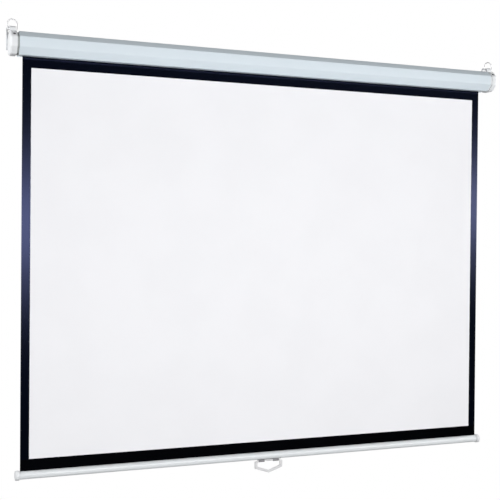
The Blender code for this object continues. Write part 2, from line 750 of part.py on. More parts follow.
def build_ear_screws(side, sign):
    """Make the flush screws that hold a wall ear to its end cap."""
    return [countersunk_screw(
        f"ear_screw_{side}_{level}", SCREW_HEAD_RADIUS, SCREW_HEAD_HEIGHT, EAR_SCREW_LENGTH,
        (sign * ear_screw_x(), 0.0, height), TO_WALL, ZINC)
        for level, height in ear_screw_levels()]


def build_hanging_ring(side, sign):
    """Bend the wire ring that stands over a lug, with both feet in the lug's bore."""
    half = RING_SPACING / 2
    foot = LUG_WIDTH / 2 - RING_FOOT_DEPTH
    arch_start = RING_HEIGHT - RING_WIRE_RADIUS - half
    leg = round_corners(
        [(foot, 0.0), (half, 0.0), (half, arch_start)], RING_BEND_RADIUS, 4, closed=False)
    arch = [(half * math.cos(angle), arch_start + half * math.sin(angle))
            for angle in (math.pi * step / RING_ARCH_STEPS for step in range(1, RING_ARCH_STEPS))]
    other_leg = [(-across, up) for across, up in reversed(leg)]
    path = [(across, 0.0, up) for across, up in leg + arch + other_leg]
    ring = wire(
        f"hanging_ring_{side}", path, RING_WIRE_RADIUS,
        (sign * LUG_X, LUG_Y, RING_AXIS_Z), RING_STEEL, 3)
    attach(joint_empty(f"ring_axis_{side}", (sign * LUG_X, LUG_Y, RING_AXIS_Z)), ring)
    return ring


def roller_ring(name, radius, bore, start, end, material, steps=ROUND_STEPS):
    """Make a ring around the roller's axis."""
    profile = [(radius, end), (radius, start), (bore, start), (bore, end)]
    return turned(name, profile, (0.0, ROLLER_Y, ROLLER_Z), ALONG_X, material, steps, closed=True)


def build_roller():
    """Make the tube, the turns of sheet that stay on it and the idle end's plug and pin."""
    tube = roller_ring(
        "roller_tube", TUBE_RADIUS, TUBE_RADIUS - TUBE_WALL, -TUBE_END, TUBE_END, TUBE_STEEL)
    wound = roller_ring(
        "wound_fabric", WOUND_RADIUS, TUBE_RADIUS + TOUCH_GAP,
        -SHEET_WIDTH / 2, SHEET_WIDTH / 2, BLACK_SHEET)
    plug_radius = TUBE_RADIUS - TUBE_WALL - TOUCH_GAP
    rim_radius = TUBE_RADIUS + PLUG_RIM_PROUD
    pin_bore = IDLE_PIN_RADIUS + TOUCH_GAP
    place = (0.0, ROLLER_Y, ROLLER_Z)
    idle_plug = turned(
        "idle_plug",
        [(rim_radius, RIM_END), (rim_radius, RIM_START), (plug_radius, RIM_START),
         (plug_radius, PLUG_INNER_END), (pin_bore, PLUG_INNER_END), (pin_bore, RIM_END)],
        place, ALONG_MINUS_X, NYLON, closed=True)
    bearing_end = BOSS_START + TOUCH_GAP + BEARING_LENGTH
    idle_pin = cylinder(
        "idle_pin", IDLE_PIN_RADIUS, RIM_END - IDLE_PIN_DEPTH, bearing_end - TOUCH_GAP,
        place, ALONG_MINUS_X, ZINC)
    head_bore = SPINDLE_RADIUS + RUNNING_GAP
    lock_head = turned(
        "lock_head",
        [(rim_radius, RIM_END), (rim_radius, RIM_START), (plug_radius, RIM_START),
         (plug_radius, PLUG_INNER_END), (head_bore, PLUG_INNER_END), (head_bore, RIM_END)],
        place, ALONG_X, NYLON, closed=True)
    anchor = turned(
        "spring_anchor",
        [(spring_neck_radius(), SPRING_START + SPRING_NECK_LENGTH),
         (spring_neck_radius(), SPRING_START), (plug_radius, SPRING_START),
         (plug_radius, SPRING_START - SPRING_ANCHOR_RIM),
         (head_bore, SPRING_START - SPRING_ANCHOR_RIM),
         (head_bore, SPRING_START + SPRING_NECK_LENGTH)],
        place, ALONG_X, ZINC, closed=True)
    attach(ROLLER_AXIS, tube, wound, idle_plug, idle_pin, lock_head, anchor)
    for level, turn in pawl_positions():
        build_pawl(level, turn, lock_head)


def spring_neck_radius():
    """Return the radius of the necks inside the spring's ends, clear of its flattest facets."""
    flat = SPRING_RADIUS * math.cos(math.pi / SPRING_STEPS)
    return flat - SPRING_WIRE_RADIUS - TOUCH_GAP


def build_bearings():
    """Make the nylon bush of the idle end and the slotted holder of the spindle's tang."""
    start = BOSS_START + TOUCH_GAP
    end = start + BEARING_LENGTH
    place = (0.0, ROLLER_Y, ROLLER_Z)
    bore = IDLE_PIN_RADIUS + RUNNING_GAP
    turned(
        "idle_bush",
        [(BEARING_RADIUS, end), (BEARING_RADIUS, start), (bore, start), (bore, end)],
        place, ALONG_MINUS_X, NYLON, closed=True)
    holder = cylinder("tang_holder", BEARING_RADIUS, start, end, place, ALONG_X, ZINC)
    half_width = TANG_WIDTH / 2 + TOUCH_GAP
    half_thickness = TANG_THICKNESS / 2 + TOUCH_GAP
    cut(holder, box(
        "tang_slot",
        (start - CUT_MARGIN, ROLLER_Y - half_thickness, ROLLER_Z - half_width),
        (end + CUT_MARGIN, ROLLER_Y + half_thickness, ROLLER_Z + half_width)))


def build_spindle():
    """Make the fixed spindle with its flat tang, ratchet disc, spring collar and spring."""
    place = (0.0, ROLLER_Y, ROLLER_Z)
    bearing_start = BOSS_START + TOUCH_GAP
    rod_end = bearing_start - TOUCH_GAP
    spindle = cylinder(
        "spring_spindle", SPINDLE_RADIUS, SPRING_START - SPRING_ANCHOR_RIM - SPINDLE_OVERRUN,
        rod_end, place, ALONG_X, ZINC)
    join(spindle, box(
        "spindle_tang",
        (rod_end - JOIN_DEPTH, ROLLER_Y - TANG_THICKNESS / 2, ROLLER_Z - TANG_WIDTH / 2),
        (bearing_start + BEARING_LENGTH - TOUCH_GAP, ROLLER_Y + TANG_THICKNESS / 2,
         ROLLER_Z + TANG_WIDTH / 2)))
    bore = SPINDLE_RADIUS + TOUCH_GAP
    ratchet = roller_ring(
        "ratchet_disc", RATCHET_RADIUS, bore, LOCK_START, LOCK_START + RATCHET_THICKNESS, ZINC)
    for level, turn in pawl_positions():
        for step in range(NOTCH_CUTS):
            lift = PAWL_LIFT * step / NOTCH_CUTS
            outline = pawl_outline(turn, lift, NOTCH_CLEARANCE)
            cut(ratchet, prism(
                f"notch_{level}_{step}", outline, LOCK_START - CUT_MARGIN,
                LOCK_START + RATCHET_THICKNESS + CUT_MARGIN))
    turned(
        "spring_collar",
        [(SPRING_COLLAR_RADIUS, COLLAR_END), (SPRING_COLLAR_RADIUS, SPRING_END),
         (spring_neck_radius(), SPRING_END), (spring_neck_radius(), SPRING_END - SPRING_NECK_LENGTH),
         (bore, SPRING_END - SPRING_NECK_LENGTH), (bore, COLLAR_END)],
        place, ALONG_X, ZINC, closed=True)
    first = SPRING_START + SPRING_WIRE_RADIUS + TOUCH_GAP
    last = SPRING_END - SPRING_WIRE_RADIUS - TOUCH_GAP
    count = SPRING_TURNS * SPRING_STEPS
    coil = []
    for step in range(count + 1):
        angle = 2 * math.pi * step / SPRING_STEPS
        coil.append((first + (last - first) * step / count,
                     SPRING_RADIUS * math.cos(angle), SPRING_RADIUS * math.sin(angle)))
    wire("torsion_spring", coil, SPRING_WIRE_RADIUS, place, SPRING_STEEL, 1)


def pawl_positions():
    """Return the name of each pawl and its turn about the roller's axis."""
    return (("upper", 0.0), ("lower", math.pi))


def turn_point(point, angle):
    """Turn a point in Y and Z about the origin."""
    across, up = point
    return (across * math.cos(angle) - up * math.sin(angle),
            across * math.sin(angle) + up * math.cos(angle))


def pawl_pivot(turn):
    """Return a pawl's pivot in Y and Z."""
    across, up = turn_point((0.0, PAWL_PIVOT_RADIUS), turn)
    return (ROLLER_Y + across, ROLLER_Z + up)


def pawl_outline(turn, lift, growth):
    """Return a pawl's outline in Y and Z, lifted out of its notch and grown all round."""
    cosine = ((PAWL_PIVOT_RADIUS ** 2 + PAWL_BITE_RADIUS ** 2 - PAWL_REACH ** 2)
              / (2 * PAWL_PIVOT_RADIUS * PAWL_BITE_RADIUS))
    swing = math.acos(cosine)
    tip = (-PAWL_BITE_RADIUS * math.sin(swing), PAWL_BITE_RADIUS * cosine - PAWL_PIVOT_RADIUS)
    eye_radius = PAWL_EYE_RADIUS + growth
    tip_radius = PAWL_TIP_RADIUS + growth
    direction = math.atan2(tip[1], tip[0])
    flare = math.acos((eye_radius - tip_radius) / PAWL_REACH)
    outline = []
    for step in range(SMALL_STEPS // 2 + 1):
        angle = direction + flare + (2 * math.pi - 2 * flare) * step / (SMALL_STEPS // 2)
        outline.append((eye_radius * math.cos(angle), eye_radius * math.sin(angle)))
    for step in range(BEND_STEPS + 1):
        angle = direction - flare + 2 * flare * step / BEND_STEPS
        outline.append((tip[0] + tip_radius * math.cos(angle), tip[1] + tip_radius * math.sin(angle)))
    lifted = [turn_point(point, turn - lift) for point in outline]
    pivot = pawl_pivot(turn)
    return [(pivot[0] + across, pivot[1] + up) for across, up in lifted]


def build_pawl(level, turn, lock_head):
    """Make a pawl, lifted clear of the ratchet, and the pin that it swings on."""
    pivot_y, pivot_z = pawl_pivot(turn)
    pawl_start = LOCK_START
    pawl_end = pawl_start + PAWL_THICKNESS
    place = (0.0, pivot_y, pivot_z)
    pawl = prism(
        f"pawl_{level}", pawl_outline(turn, PAWL_LIFT, 0.0), pawl_start, pawl_end, SPRING_STEEL)
    cut(pawl, cylinder(
        f"pawl_bore_{level}", PAWL_PIN_RADIUS + TOUCH_GAP, pawl_start - CUT_MARGIN,
        pawl_end + CUT_MARGIN, place, ALONG_X, steps=SMALL_STEPS))
    head_start = pawl_end + TOUCH_GAP
    head_end = head_start + PAWL_PIN_HEAD_HEIGHT
    pin = turned(
        f"pawl_pin_{level}",
        [(0.0, head_end), (PAWL_PIN_HEAD_RADIUS, head_end), (PAWL_PIN_HEAD_RADIUS, head_start),
         (PAWL_PIN_RADIUS, head_start), (PAWL_PIN_RADIUS, RIM_END - PAWL_PIN_DEPTH),
         (0.0, RIM_END - PAWL_PIN_DEPTH)],
        place, ALONG_X, ZINC, SMALL_STEPS)
    cut(lock_head, cylinder(
        f"pawl_pin_hole_{level}", PAWL_PIN_RADIUS + TOUCH_GAP,
        RIM_END - PAWL_PIN_DEPTH - TOUCH_GAP, RIM_END + CUT_MARGIN, place, ALONG_X,
        steps=SMALL_STEPS))
    attach(ROLLER_AXIS, pin)
    attach(joint_empty(f"pawl_axis_{level}", (pawl_start, pivot_y, pivot_z)), pawl)


def build_sheet():
    """Make the sheet from the roller down to the foot of the picture."""
    half = SHEET_THICKNESS / 2
    box(
        "screen_sheet",
        (-SHEET_WIDTH / 2, SHEET_Y - half, PICTURE_BOTTOM),
        (SHEET_WIDTH / 2, SHEET_Y + half, ROLLER_Z), WHITE_SHEET)


def hem_centre_z():
    """Return the height of the rod that keeps the sheet's hem in the bar."""
    return BAR_Z + BAR_RADIUS - BAR_WALL - TOUCH_GAP - hem_radius()


def hem_radius():
    """Return the outer radius of the hem around its rod."""
    return HEM_ROD_RADIUS + TOUCH_GAP + SHEET_THICKNESS


def build_bottom_border():
    """Make the black foot of the sheet, with the hem that is sewn round the hem rod."""
    half = SHEET_THICKNESS / 2
    border = box(
        "bottom_border",
        (-SHEET_WIDTH / 2, SHEET_Y - half, hem_centre_z() + HEM_ROD_RADIUS + SHEET_THICKNESS),
        (SHEET_WIDTH / 2, SHEET_Y + half, PICTURE_BOTTOM - TOUCH_GAP), BLACK_SHEET)
    place = (0.0, SHEET_Y, hem_centre_z())
    hem = cylinder(
        "hem_outside", hem_radius(), -SHEET_WIDTH / 2, SHEET_WIDTH / 2, place, ALONG_X,
        steps=SMALL_STEPS)
    bore = cylinder(
        "hem_bore", HEM_ROD_RADIUS + TOUCH_GAP, -SHEET_WIDTH, SHEET_WIDTH, place, ALONG_X,
        steps=SMALL_STEPS)
    cut(join(border, hem), bore)
    rod = cylinder(
        "hem_rod", HEM_ROD_RADIUS, -SHEET_WIDTH / 2, SHEET_WIDTH / 2, place, ALONG_X, NYLON,
        SMALL_STEPS)
    return [border, rod]


def build_bottom_bar():
    """Make the round bar, slotted along its top for the sheet."""
    half_slot = SHEET_THICKNESS / 2 + BAR_SLOT_CLEARANCE
    slot_angle = math.asin(half_slot / BAR_RADIUS)
    start = math.pi / 2 + slot_angle
    sweep = 2 * math.pi - 2 * slot_angle
    path = []
    for step in range(ROUND_STEPS + 1):
        angle = start + sweep * step / ROUND_STEPS
        path.append((SHEET_Y + BAR_RADIUS * math.cos(angle), BAR_Z + BAR_RADIUS * math.sin(angle)))
    bar = folded_sheet("bottom_bar", path, SHEET_WIDTH, BAR_WALL, BAR_PAINT)
    for side, sign in (("left", -1), ("right", 1)):
        cut(bar, cylinder(
            f"bar_rivet_hole_{side}", RIVET_SHANK_RADIUS + TOUCH_GAP, -2 * BAR_RADIUS, 0.0,
            (sign * RIVET_OFFSET, SHEET_Y, BAR_Z), (0.0, 0.0, 0.0), steps=SMALL_STEPS))
    return bar


def build_bar_plug(side, sign):
    """Make the plug in one end of the bar, notched for the hem."""
    start = SHEET_WIDTH / 2 + TOUCH_GAP
    flange = start + BAR_PLUG_NECK_LENGTH
    end = flange + BAR_PLUG_LENGTH
    spigot_radius = BAR_RADIUS - BAR_WALL - TOUCH_GAP
    edge = [(BAR_PLUG_RADIUS - BAR_PLUG_EDGE * (1 - math.sin(angle)),
             end - BAR_PLUG_EDGE * (1 - math.cos(angle)))
            for angle in (math.pi / 2 * step / 4 for step in range(5))]
    profile = [(0.0, end - BAR_PLUG_DISH), (BAR_PLUG_RADIUS - 2 * BAR_PLUG_EDGE, end)] + edge
    profile += [
        (BAR_PLUG_RADIUS, flange), (BAR_PLUG_NECK_RADIUS, flange), (BAR_PLUG_NECK_RADIUS, start),
        (spigot_radius, start), (spigot_radius, start - BAR_PLUG_SPIGOT),
        (0.0, start - BAR_PLUG_SPIGOT)]
    place = (0.0, SHEET_Y, BAR_Z)
    along = ALONG_X if sign > 0 else ALONG_MINUS_X
    plug = turned(f"bar_plug_{side}", profile, place, along, WHITE_PLASTIC)
    low_x, high_x = sorted((sign * (start - BAR_PLUG_SPIGOT - CUT_MARGIN), sign * start))
    half = hem_radius() + 2 * TOUCH_GAP
    return cut(plug, box(
        f"hem_notch_{side}",
        (low_x, SHEET_Y - half, hem_centre_z() - half),
        (high_x, SHEET_Y + half, BAR_Z + BAR_RADIUS + CUT_MARGIN)))


def build_handle_clip():
    """Make the dark clip under the bar, with two eyes for the handle's rod."""
    inner = BAR_RADIUS + TOUCH_GAP
    outer = inner + CLIP_THICKNESS
    steps = SMALL_STEPS // 2
    sweep = [-math.pi / 2 - CLIP_ARC + 2 * CLIP_ARC * step / steps for step in range(steps + 1)]
    outline = [(SHEET_Y + outer * math.cos(angle), BAR_Z + outer * math.sin(angle))
               for angle in sweep]
    outline += [(SHEET_Y + inner * math.cos(angle), BAR_Z + inner * math.sin(angle))
                for angle in reversed(sweep)]
    clip = prism("handle_clip", outline, -CLIP_LENGTH / 2, CLIP_LENGTH / 2, DARK_CLIP)
    bore_radius = HANDLE_THICKNESS / 2 + RUNNING_GAP
    eye_radius = bore_radius + CLIP_EYE_WALL
    neck_top = BAR_Z - inner - CLIP_THICKNESS / 2
    for side, sign in (("left", -1), ("right", 1)):
        middle = sign * CLIP_EYE_OFFSET
        place = (middle, SHEET_Y, HANDLE_Z)
        half_length = CLIP_EYE_LENGTH / 2 - CLIP_NECK_INSET
        half_depth = eye_radius - CLIP_NECK_INSET
        eye = cylinder(
            f"clip_eye_{side}", eye_radius, -CLIP_EYE_LENGTH / 2, CLIP_EYE_LENGTH / 2,
            place, ALONG_X, steps=SMALL_STEPS)
        neck = box(
            f"clip_neck_{side}", (middle - half_length, SHEET_Y - half_depth, HANDLE_Z),
            (middle + half_length, SHEET_Y + half_depth, neck_top))
        join(clip, neck, eye)
        cut(clip, cylinder(
            f"clip_bore_{side}", bore_radius, -CLIP_EYE_LENGTH, CLIP_EYE_LENGTH,
            place, ALONG_X, steps=SMALL_STEPS))
        cut(clip, cylinder(
            f"clip_rivet_hole_{side}", RIVET_SHANK_RADIUS + TOUCH_GAP, -2 * BAR_RADIUS, 0.0,
            (sign * RIVET_OFFSET, SHEET_Y, BAR_Z), (0.0, 0.0, 0.0), steps=SMALL_STEPS))
    return clip


def build_clip_rivet(side, sign):
    """Make a flat-headed rivet through the clip and the bar's wall."""
    seat = -(BAR_RADIUS + TOUCH_GAP + CLIP_THICKNESS + TOUCH_GAP)
    inside = -(BAR_RADIUS - BAR_WALL - TOUCH_GAP)
    upset = inside + RIVET_HEAD_HEIGHT
    return turned(
        f"clip_rivet_{side}",
        [(0.0, upset), (RIVET_HEAD_RADIUS, upset), (RIVET_HEAD_RADIUS, inside),
         (RIVET_SHANK_RADIUS, inside), (RIVET_SHANK_RADIUS, seat), (RIVET_HEAD_RADIUS, seat),
         (RIVET_HEAD_RADIUS, seat + TOUCH_GAP - RIVET_HEAD_HEIGHT),
         (0.0, seat + TOUCH_GAP - RIVET_HEAD_HEIGHT)],
        (sign * RIVET_OFFSET, SHEET_Y, BAR_Z), (0.0, 0.0, 0.0), ZINC, SMALL_STEPS)


def build_pull_handle():
    """Make the flat loop handle with its shallow V grip and the round rod that it swings on."""
    half = HANDLE_WIDTH / 2
    rod_half = HANDLE_ROD_LENGTH / 2
    slope = (HANDLE_POINT_DROP - HANDLE_SIDE_DROP) / half
    grip = HANDLE_GRIP_BAND * math.hypot(1.0, slope)
    inner_half = half - HANDLE_SIDE_BAND
    outer = [
        (-rod_half, HANDLE_TOP_EDGE), (-half, -HANDLE_SHOULDER_DROP), (-half, -HANDLE_SIDE_DROP),
        (0.0, -HANDLE_POINT_DROP), (half, -HANDLE_SIDE_DROP), (half, -HANDLE_SHOULDER_DROP),
        (rod_half, HANDLE_TOP_EDGE)]
    inner_corner = slope * inner_half + grip - HANDLE_POINT_DROP
    inner = [
        (rod_half, -HANDLE_THICKNESS / 2), (inner_half, -HANDLE_SHOULDER_DROP - HANDLE_TOP_BAND),
        (inner_half, inner_corner), (0.0, grip - HANDLE_POINT_DROP), (-inner_half, inner_corner),
        (-inner_half, -HANDLE_SHOULDER_DROP - HANDLE_TOP_BAND), (-rod_half, -HANDLE_THICKNESS / 2)]
    outline = round_corners(outer, HANDLE_CORNER_RADIUS, closed=False)
    outline += round_corners(inner, HANDLE_CORNER_RADIUS / 2, closed=False)
    place = (0.0, SHEET_Y, HANDLE_Z)
    handle = plate(
        "pull_handle", outline, HANDLE_THICKNESS, place, FACING_VIEWER, HANDLE_PLASTIC)
    reach = rod_half + JOIN_DEPTH
    join(handle, cylinder(
        "handle_rod", HANDLE_THICKNESS / 2, -reach, reach, place, ALONG_X, steps=SMALL_STEPS))
    attach(joint_empty("handle_axis", place), handle)
    return handle


ROLLER_AXIS = joint_empty("roller_axis", (0.0, ROLLER_Y, ROLLER_Z))
SCREEN_SLIDE = joint_empty("screen_slide", (0.0, SHEET_Y, BAR_Z))

build_case_shell()
for cap_side, cap_sign in (("left", -1), ("right", 1)):
    build_end_cap(cap_side, cap_sign)
    build_cap_screw(cap_side, cap_sign)
    build_shell_screw(cap_side, cap_sign)
    build_wall_ear(cap_side, cap_sign)
    build_ear_screws(cap_side, cap_sign)
    build_hanging_ring(cap_side, cap_sign)
build_bearings()
build_spindle()
build_roller()
build_sheet()
attach(SCREEN_SLIDE, *build_bottom_border(), build_bottom_bar(), build_handle_clip())
for plug_side, plug_sign in (("left", -1), ("right", 1)):
    attach(SCREEN_SLIDE, build_bar_plug(plug_side, plug_sign))
    attach(SCREEN_SLIDE, build_clip_rivet(plug_side, plug_sign))
build_pull_handle()
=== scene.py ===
"""Looks of a pull-down projector screen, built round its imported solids.

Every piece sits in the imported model's own frame: the wall is Y = 0, the viewer stands at -Y,
X runs along the case, Z is up and all lengths are metres.
"""
from __future__ import annotations

import json
import logging
import math
from collections.abc import Sequence
from dataclasses import dataclass
from enum import Enum

import bmesh
import bpy
from mathutils import Matrix, Quaternion, Vector

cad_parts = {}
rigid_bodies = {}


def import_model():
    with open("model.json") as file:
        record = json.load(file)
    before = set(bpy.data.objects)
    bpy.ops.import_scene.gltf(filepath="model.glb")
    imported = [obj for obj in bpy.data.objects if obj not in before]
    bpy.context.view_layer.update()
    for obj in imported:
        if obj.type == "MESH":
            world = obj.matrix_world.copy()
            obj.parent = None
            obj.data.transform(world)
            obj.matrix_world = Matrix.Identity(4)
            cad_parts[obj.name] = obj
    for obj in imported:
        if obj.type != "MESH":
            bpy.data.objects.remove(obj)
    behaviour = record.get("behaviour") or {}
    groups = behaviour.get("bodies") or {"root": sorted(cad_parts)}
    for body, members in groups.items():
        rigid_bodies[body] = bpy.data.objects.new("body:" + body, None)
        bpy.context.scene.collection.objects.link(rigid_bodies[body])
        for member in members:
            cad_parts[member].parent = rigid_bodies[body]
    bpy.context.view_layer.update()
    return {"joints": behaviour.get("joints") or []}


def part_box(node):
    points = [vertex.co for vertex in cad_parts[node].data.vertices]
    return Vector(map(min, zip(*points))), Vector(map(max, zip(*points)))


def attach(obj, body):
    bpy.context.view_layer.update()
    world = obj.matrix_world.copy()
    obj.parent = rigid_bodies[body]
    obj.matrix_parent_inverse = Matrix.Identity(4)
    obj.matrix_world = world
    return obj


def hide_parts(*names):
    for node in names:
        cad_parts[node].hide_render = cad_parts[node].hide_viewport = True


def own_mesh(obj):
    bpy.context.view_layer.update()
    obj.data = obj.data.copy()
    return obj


LOG = logging.getLogger("projector_screen")
Flat = tuple[float, float]
Point = tuple[float, float, float]
Colour = tuple[float, float, float]
Grid = list[list[bmesh.types.BMVert]]
ORIGIN: Point = (0.0, 0.0, 0.0)
QUARTER_TURN = math.pi / 2


class Side(Enum):
    """End of the screen, as the viewer sees it."""

    LEFT = -1
    RIGHT = 1

    @property
    def word(self) -> str:
        """Name of the side as the nodes spell it."""
        return self.name.lower()


class Body(Enum):
    """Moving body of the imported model."""

    CASE = "case"
    ROLLER = "roller"
    UPPER_PAWL = "upper_pawl"
    LOWER_PAWL = "lower_pawl"
    BAR = "screen_bar"
    HANDLE = "handle"
    LEFT_RING = "left_ring"
    RIGHT_RING = "right_ring"


def middle_of(node: str) -> Vector:
    """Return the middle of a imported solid's box."""
    low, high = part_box(node)
    return (low + high) / 2


def spread(start: float, end: float, steps: int) -> list[float]:
    """Return evenly spaced values from start to end, both included."""
    return [start + (end - start) * step / steps for step in range(steps + 1)]


def round_spot(centre: Flat, radius: float, angle: float) -> Flat:
    """Return the point of a circle at an angle in radians."""
    return centre[0] + radius * math.cos(angle), centre[1] + radius * math.sin(angle)


def cylinder(radius: float, reach: float) -> list[Flat]:
    """Return the profile of a plain cylinder that reaches as far to both sides."""
    return [(0.0, reach), (radius, reach), (radius, -reach), (0.0, -reach)]


class NodeBuilder:
    """Adds nodes to one shader, world or geometry tree."""

    def __init__(self, tree: bpy.types.NodeTree) -> None:
        """Keep the tree and clear it."""
        self.tree = tree
        tree.nodes.clear()

    def add(self, kind: str, settings: dict | None = None,
            inputs: dict | None = None) -> bpy.types.Node:
        """Add a node.

        Args:
            kind: The node's type.
            settings: Properties, which are set first.
            inputs: Values or links, by socket name or number.

        Returns:
            The new node.
        """
        node = self.tree.nodes.new(kind)
        for name, value in (settings or {}).items():
            setattr(node, name, value)
        for key, value in (inputs or {}).items():
            self.plug(value, node.inputs[key])
        return node

    def plug(self, value: object, socket: bpy.types.NodeSocket) -> None:
        """Link or set one socket.

        Args:
            value: A signal or an output to link, or else a value to set.
            socket: The input that takes it.
        """
        if isinstance(value, Signal):
            value = value.socket
        if isinstance(value, bpy.types.NodeSocket):
            self.tree.links.new(value, socket)
        else:
            socket.default_value = (*value, 1.0) if socket.type == "RGBA" else value

    def signal(self, kind: str, output: int | str = 0, settings: dict | None = None,
               inputs: dict | None = None) -> Signal:
        """Add a node and wrap one of its outputs."""
        return Signal(self, self.add(kind, settings, inputs).outputs[output])

    def axis(self, letter: str, source: bpy.types.NodeSocket) -> Signal:
        """Return one coordinate of a vector."""
        return self.signal("ShaderNodeSeparateXYZ", letter, None, {0: source})

    def ray(self, kind: str) -> Signal:
        """Return 1 for rays of one kind and 0 for all others."""
        return self.signal("ShaderNodeLightPath", f"Is {kind} Ray")

    def blend(self, first: object, second: object, share: object) -> bpy.types.NodeSocket:
        """Mix two colours by a share from 0 to 1."""
        node = self.add("ShaderNodeMix", {"data_type": "RGBA"}, {0: share, 6: first, 7: second})
        return node.outputs[2]


class Signal:
    """Number in a node tree, with Python's own operators."""

    def __init__(self, builder: NodeBuilder, socket: bpy.types.NodeSocket) -> None:
        """Keep the builder and the socket that carries the number."""
        self.builder = builder
        self.socket = socket

    def _math(self, operation: str, *values: object) -> Signal:
        """Add one Math node."""
        return self.builder.signal(
            "ShaderNodeMath", 0, {"operation": operation}, dict(enumerate(values)))

    def __add__(self, other: object) -> Signal:
        """Return self + other."""
        return self._math("ADD", self, other)

    def __sub__(self, other: object) -> Signal:
        """Return self - other."""
        return self._math("SUBTRACT", self, other)

    def __rsub__(self, other: object) -> Signal:
        """Return other - self."""
        return self._math("SUBTRACT", other, self)

    def __mul__(self, other: object) -> Signal:
        """Return self * other."""
        return self._math("MULTIPLY", self, other)

    def __abs__(self) -> Signal:
        """Return the size of self."""
        return self._math("ABSOLUTE", self)

    __radd__ = __add__
    __rmul__ = __mul__

    def most(self, other: object) -> Signal:
        """Return the greater of self and other."""
        return self._math("MAXIMUM", self, other)

    def sine(self) -> Signal:
        """Return the sine of self."""
        return self._math("SINE", self)

    def step(self, low: float, high: float) -> Signal:
        """Rise smoothly from 0 at low to 1 at high."""
        return self.builder.signal(
            "ShaderNodeMapRange", 0, {"interpolation_type": "SMOOTHSTEP"},
            {"Value": self, "From Min": low, "From Max": high})


class ShaderKit(NodeBuilder):
    """Builds one material round a Principled shader."""

    def __init__(self, name: str) -> None:
        """Start an empty material.

        Args:
            name: The material's name.
        """
        self.material = bpy.data.materials.new(name)
        self.material.use_nodes = True
        super().__init__(self.material.node_tree)
        self.shader = self.add("ShaderNodeBsdfPrincipled")
        self.output = self.add(
            "ShaderNodeOutputMaterial", None, {"Surface": self.shader.outputs[0]})
        self.place = self.add("ShaderNodeTexCoord").outputs["Object"]

    def noise(self, scale: float | Point, detail: float = 3.0, roughness: float = 0.5) -> Signal:
        """Sample noise in object space.

        Args:
            scale: Waves per metre, or one number for each axis.
            detail: Number of finer layers.
            roughness: Share of the finer layers.

        Returns:
            The noise, about 0 to 1.
        """
        place = self.place
        if isinstance(scale, tuple):
            place = self.add(
                "ShaderNodeMapping", None, {"Vector": place, "Scale": scale}).outputs[0]
            scale = 1.0
        return self.signal("ShaderNodeTexNoise", 0, None, {
            "Vector": place, "Scale": scale, "Detail": detail, "Roughness": roughness})

    def cells(self, scale: float, output: str = "Distance") -> Signal:
        """Sample Voronoi cells in object space, per metre."""
        return self.signal(
            "ShaderNodeTexVoronoi", output, None, {"Vector": self.place, "Scale": scale})

    def bump(self, height: Signal, depth: float, strength: float) -> bpy.types.NodeSocket:
        """Turn a height from 0 to 1, which is depth metres deep, into a normal."""
        inputs = {"Height": height, "Distance": depth, "Strength": strength}
        return self.add("ShaderNodeBump", None, inputs).outputs[0]

    def finish(self, **sockets: object) -> bpy.types.Material:
        """Set the shader's sockets.

        Args:
            sockets: Values or links, by the socket's name in small letters with _ for a space.

        Returns:
            The material.
        """
        for name, value in sockets.items():
            title = name.replace("_", " ").title().replace("Ior", "IOR")
            self.plug(value, self.shader.inputs[title])
        return self.material


class ClothKit(ShaderKit):
    """Builds a cloth's material on its own UV map, which is in metres across and down."""

    CELLS = 1400.0
    THREADS = 4200.0
    DEPTH = 0.00002

    def __init__(self, name: str) -> None:
        """Start the material with its two directions and its grain.

        Args:
            name: The material's name.
        """
        super().__init__(name)
        flat = self.add("ShaderNodeTexCoord").outputs["UV"]
        self.across, self.down = self.axis("X", flat), self.axis("Y", flat)
        self.grain = self.cells(self.CELLS)

    def weave(self, strength: float) -> bpy.types.NodeSocket:
        """Raise the grain and the crossing threads."""
        threads = (self.across * self.THREADS).sine() * (self.down * self.THREADS).sine()
        return self.bump(self.grain * 0.5 + threads * 0.25, self.DEPTH, strength)


@dataclass(frozen=True)
class StovedPaint:
    """Baked enamel on steel: faint orange peel, slow tone drift and a little dust in the gloss."""

    name: str
    colour: Colour
    shade: Colour
    roughness: float = 0.36
    gloss: float = 0.4
    peel_depth: float = 0.00002

    def build(self) -> bpy.types.Material:
        """Make the material.

        Returns:
            The material.
        """
        kit = ShaderKit(self.name)
        drift = kit.noise((0.8, 6.0, 6.0), 2.0).step(0.3, 0.7)
        peel = kit.noise(420.0, 2.0)
        # Random dust in the enamel; no shade is painted here.
        dust = kit.noise(38.0, 5.0, 0.65).step(0.45, 0.75)
        tone = kit.blend(self.colour, self.shade, drift * 0.5 + dust * 0.12)
        rough = dust * 0.10 + peel * 0.04 + (self.roughness - 0.04)
        return kit.finish(
            base_color=tone, roughness=rough, specular_ior_level=self.gloss,
            normal=kit.bump(peel, self.peel_depth, 0.6))


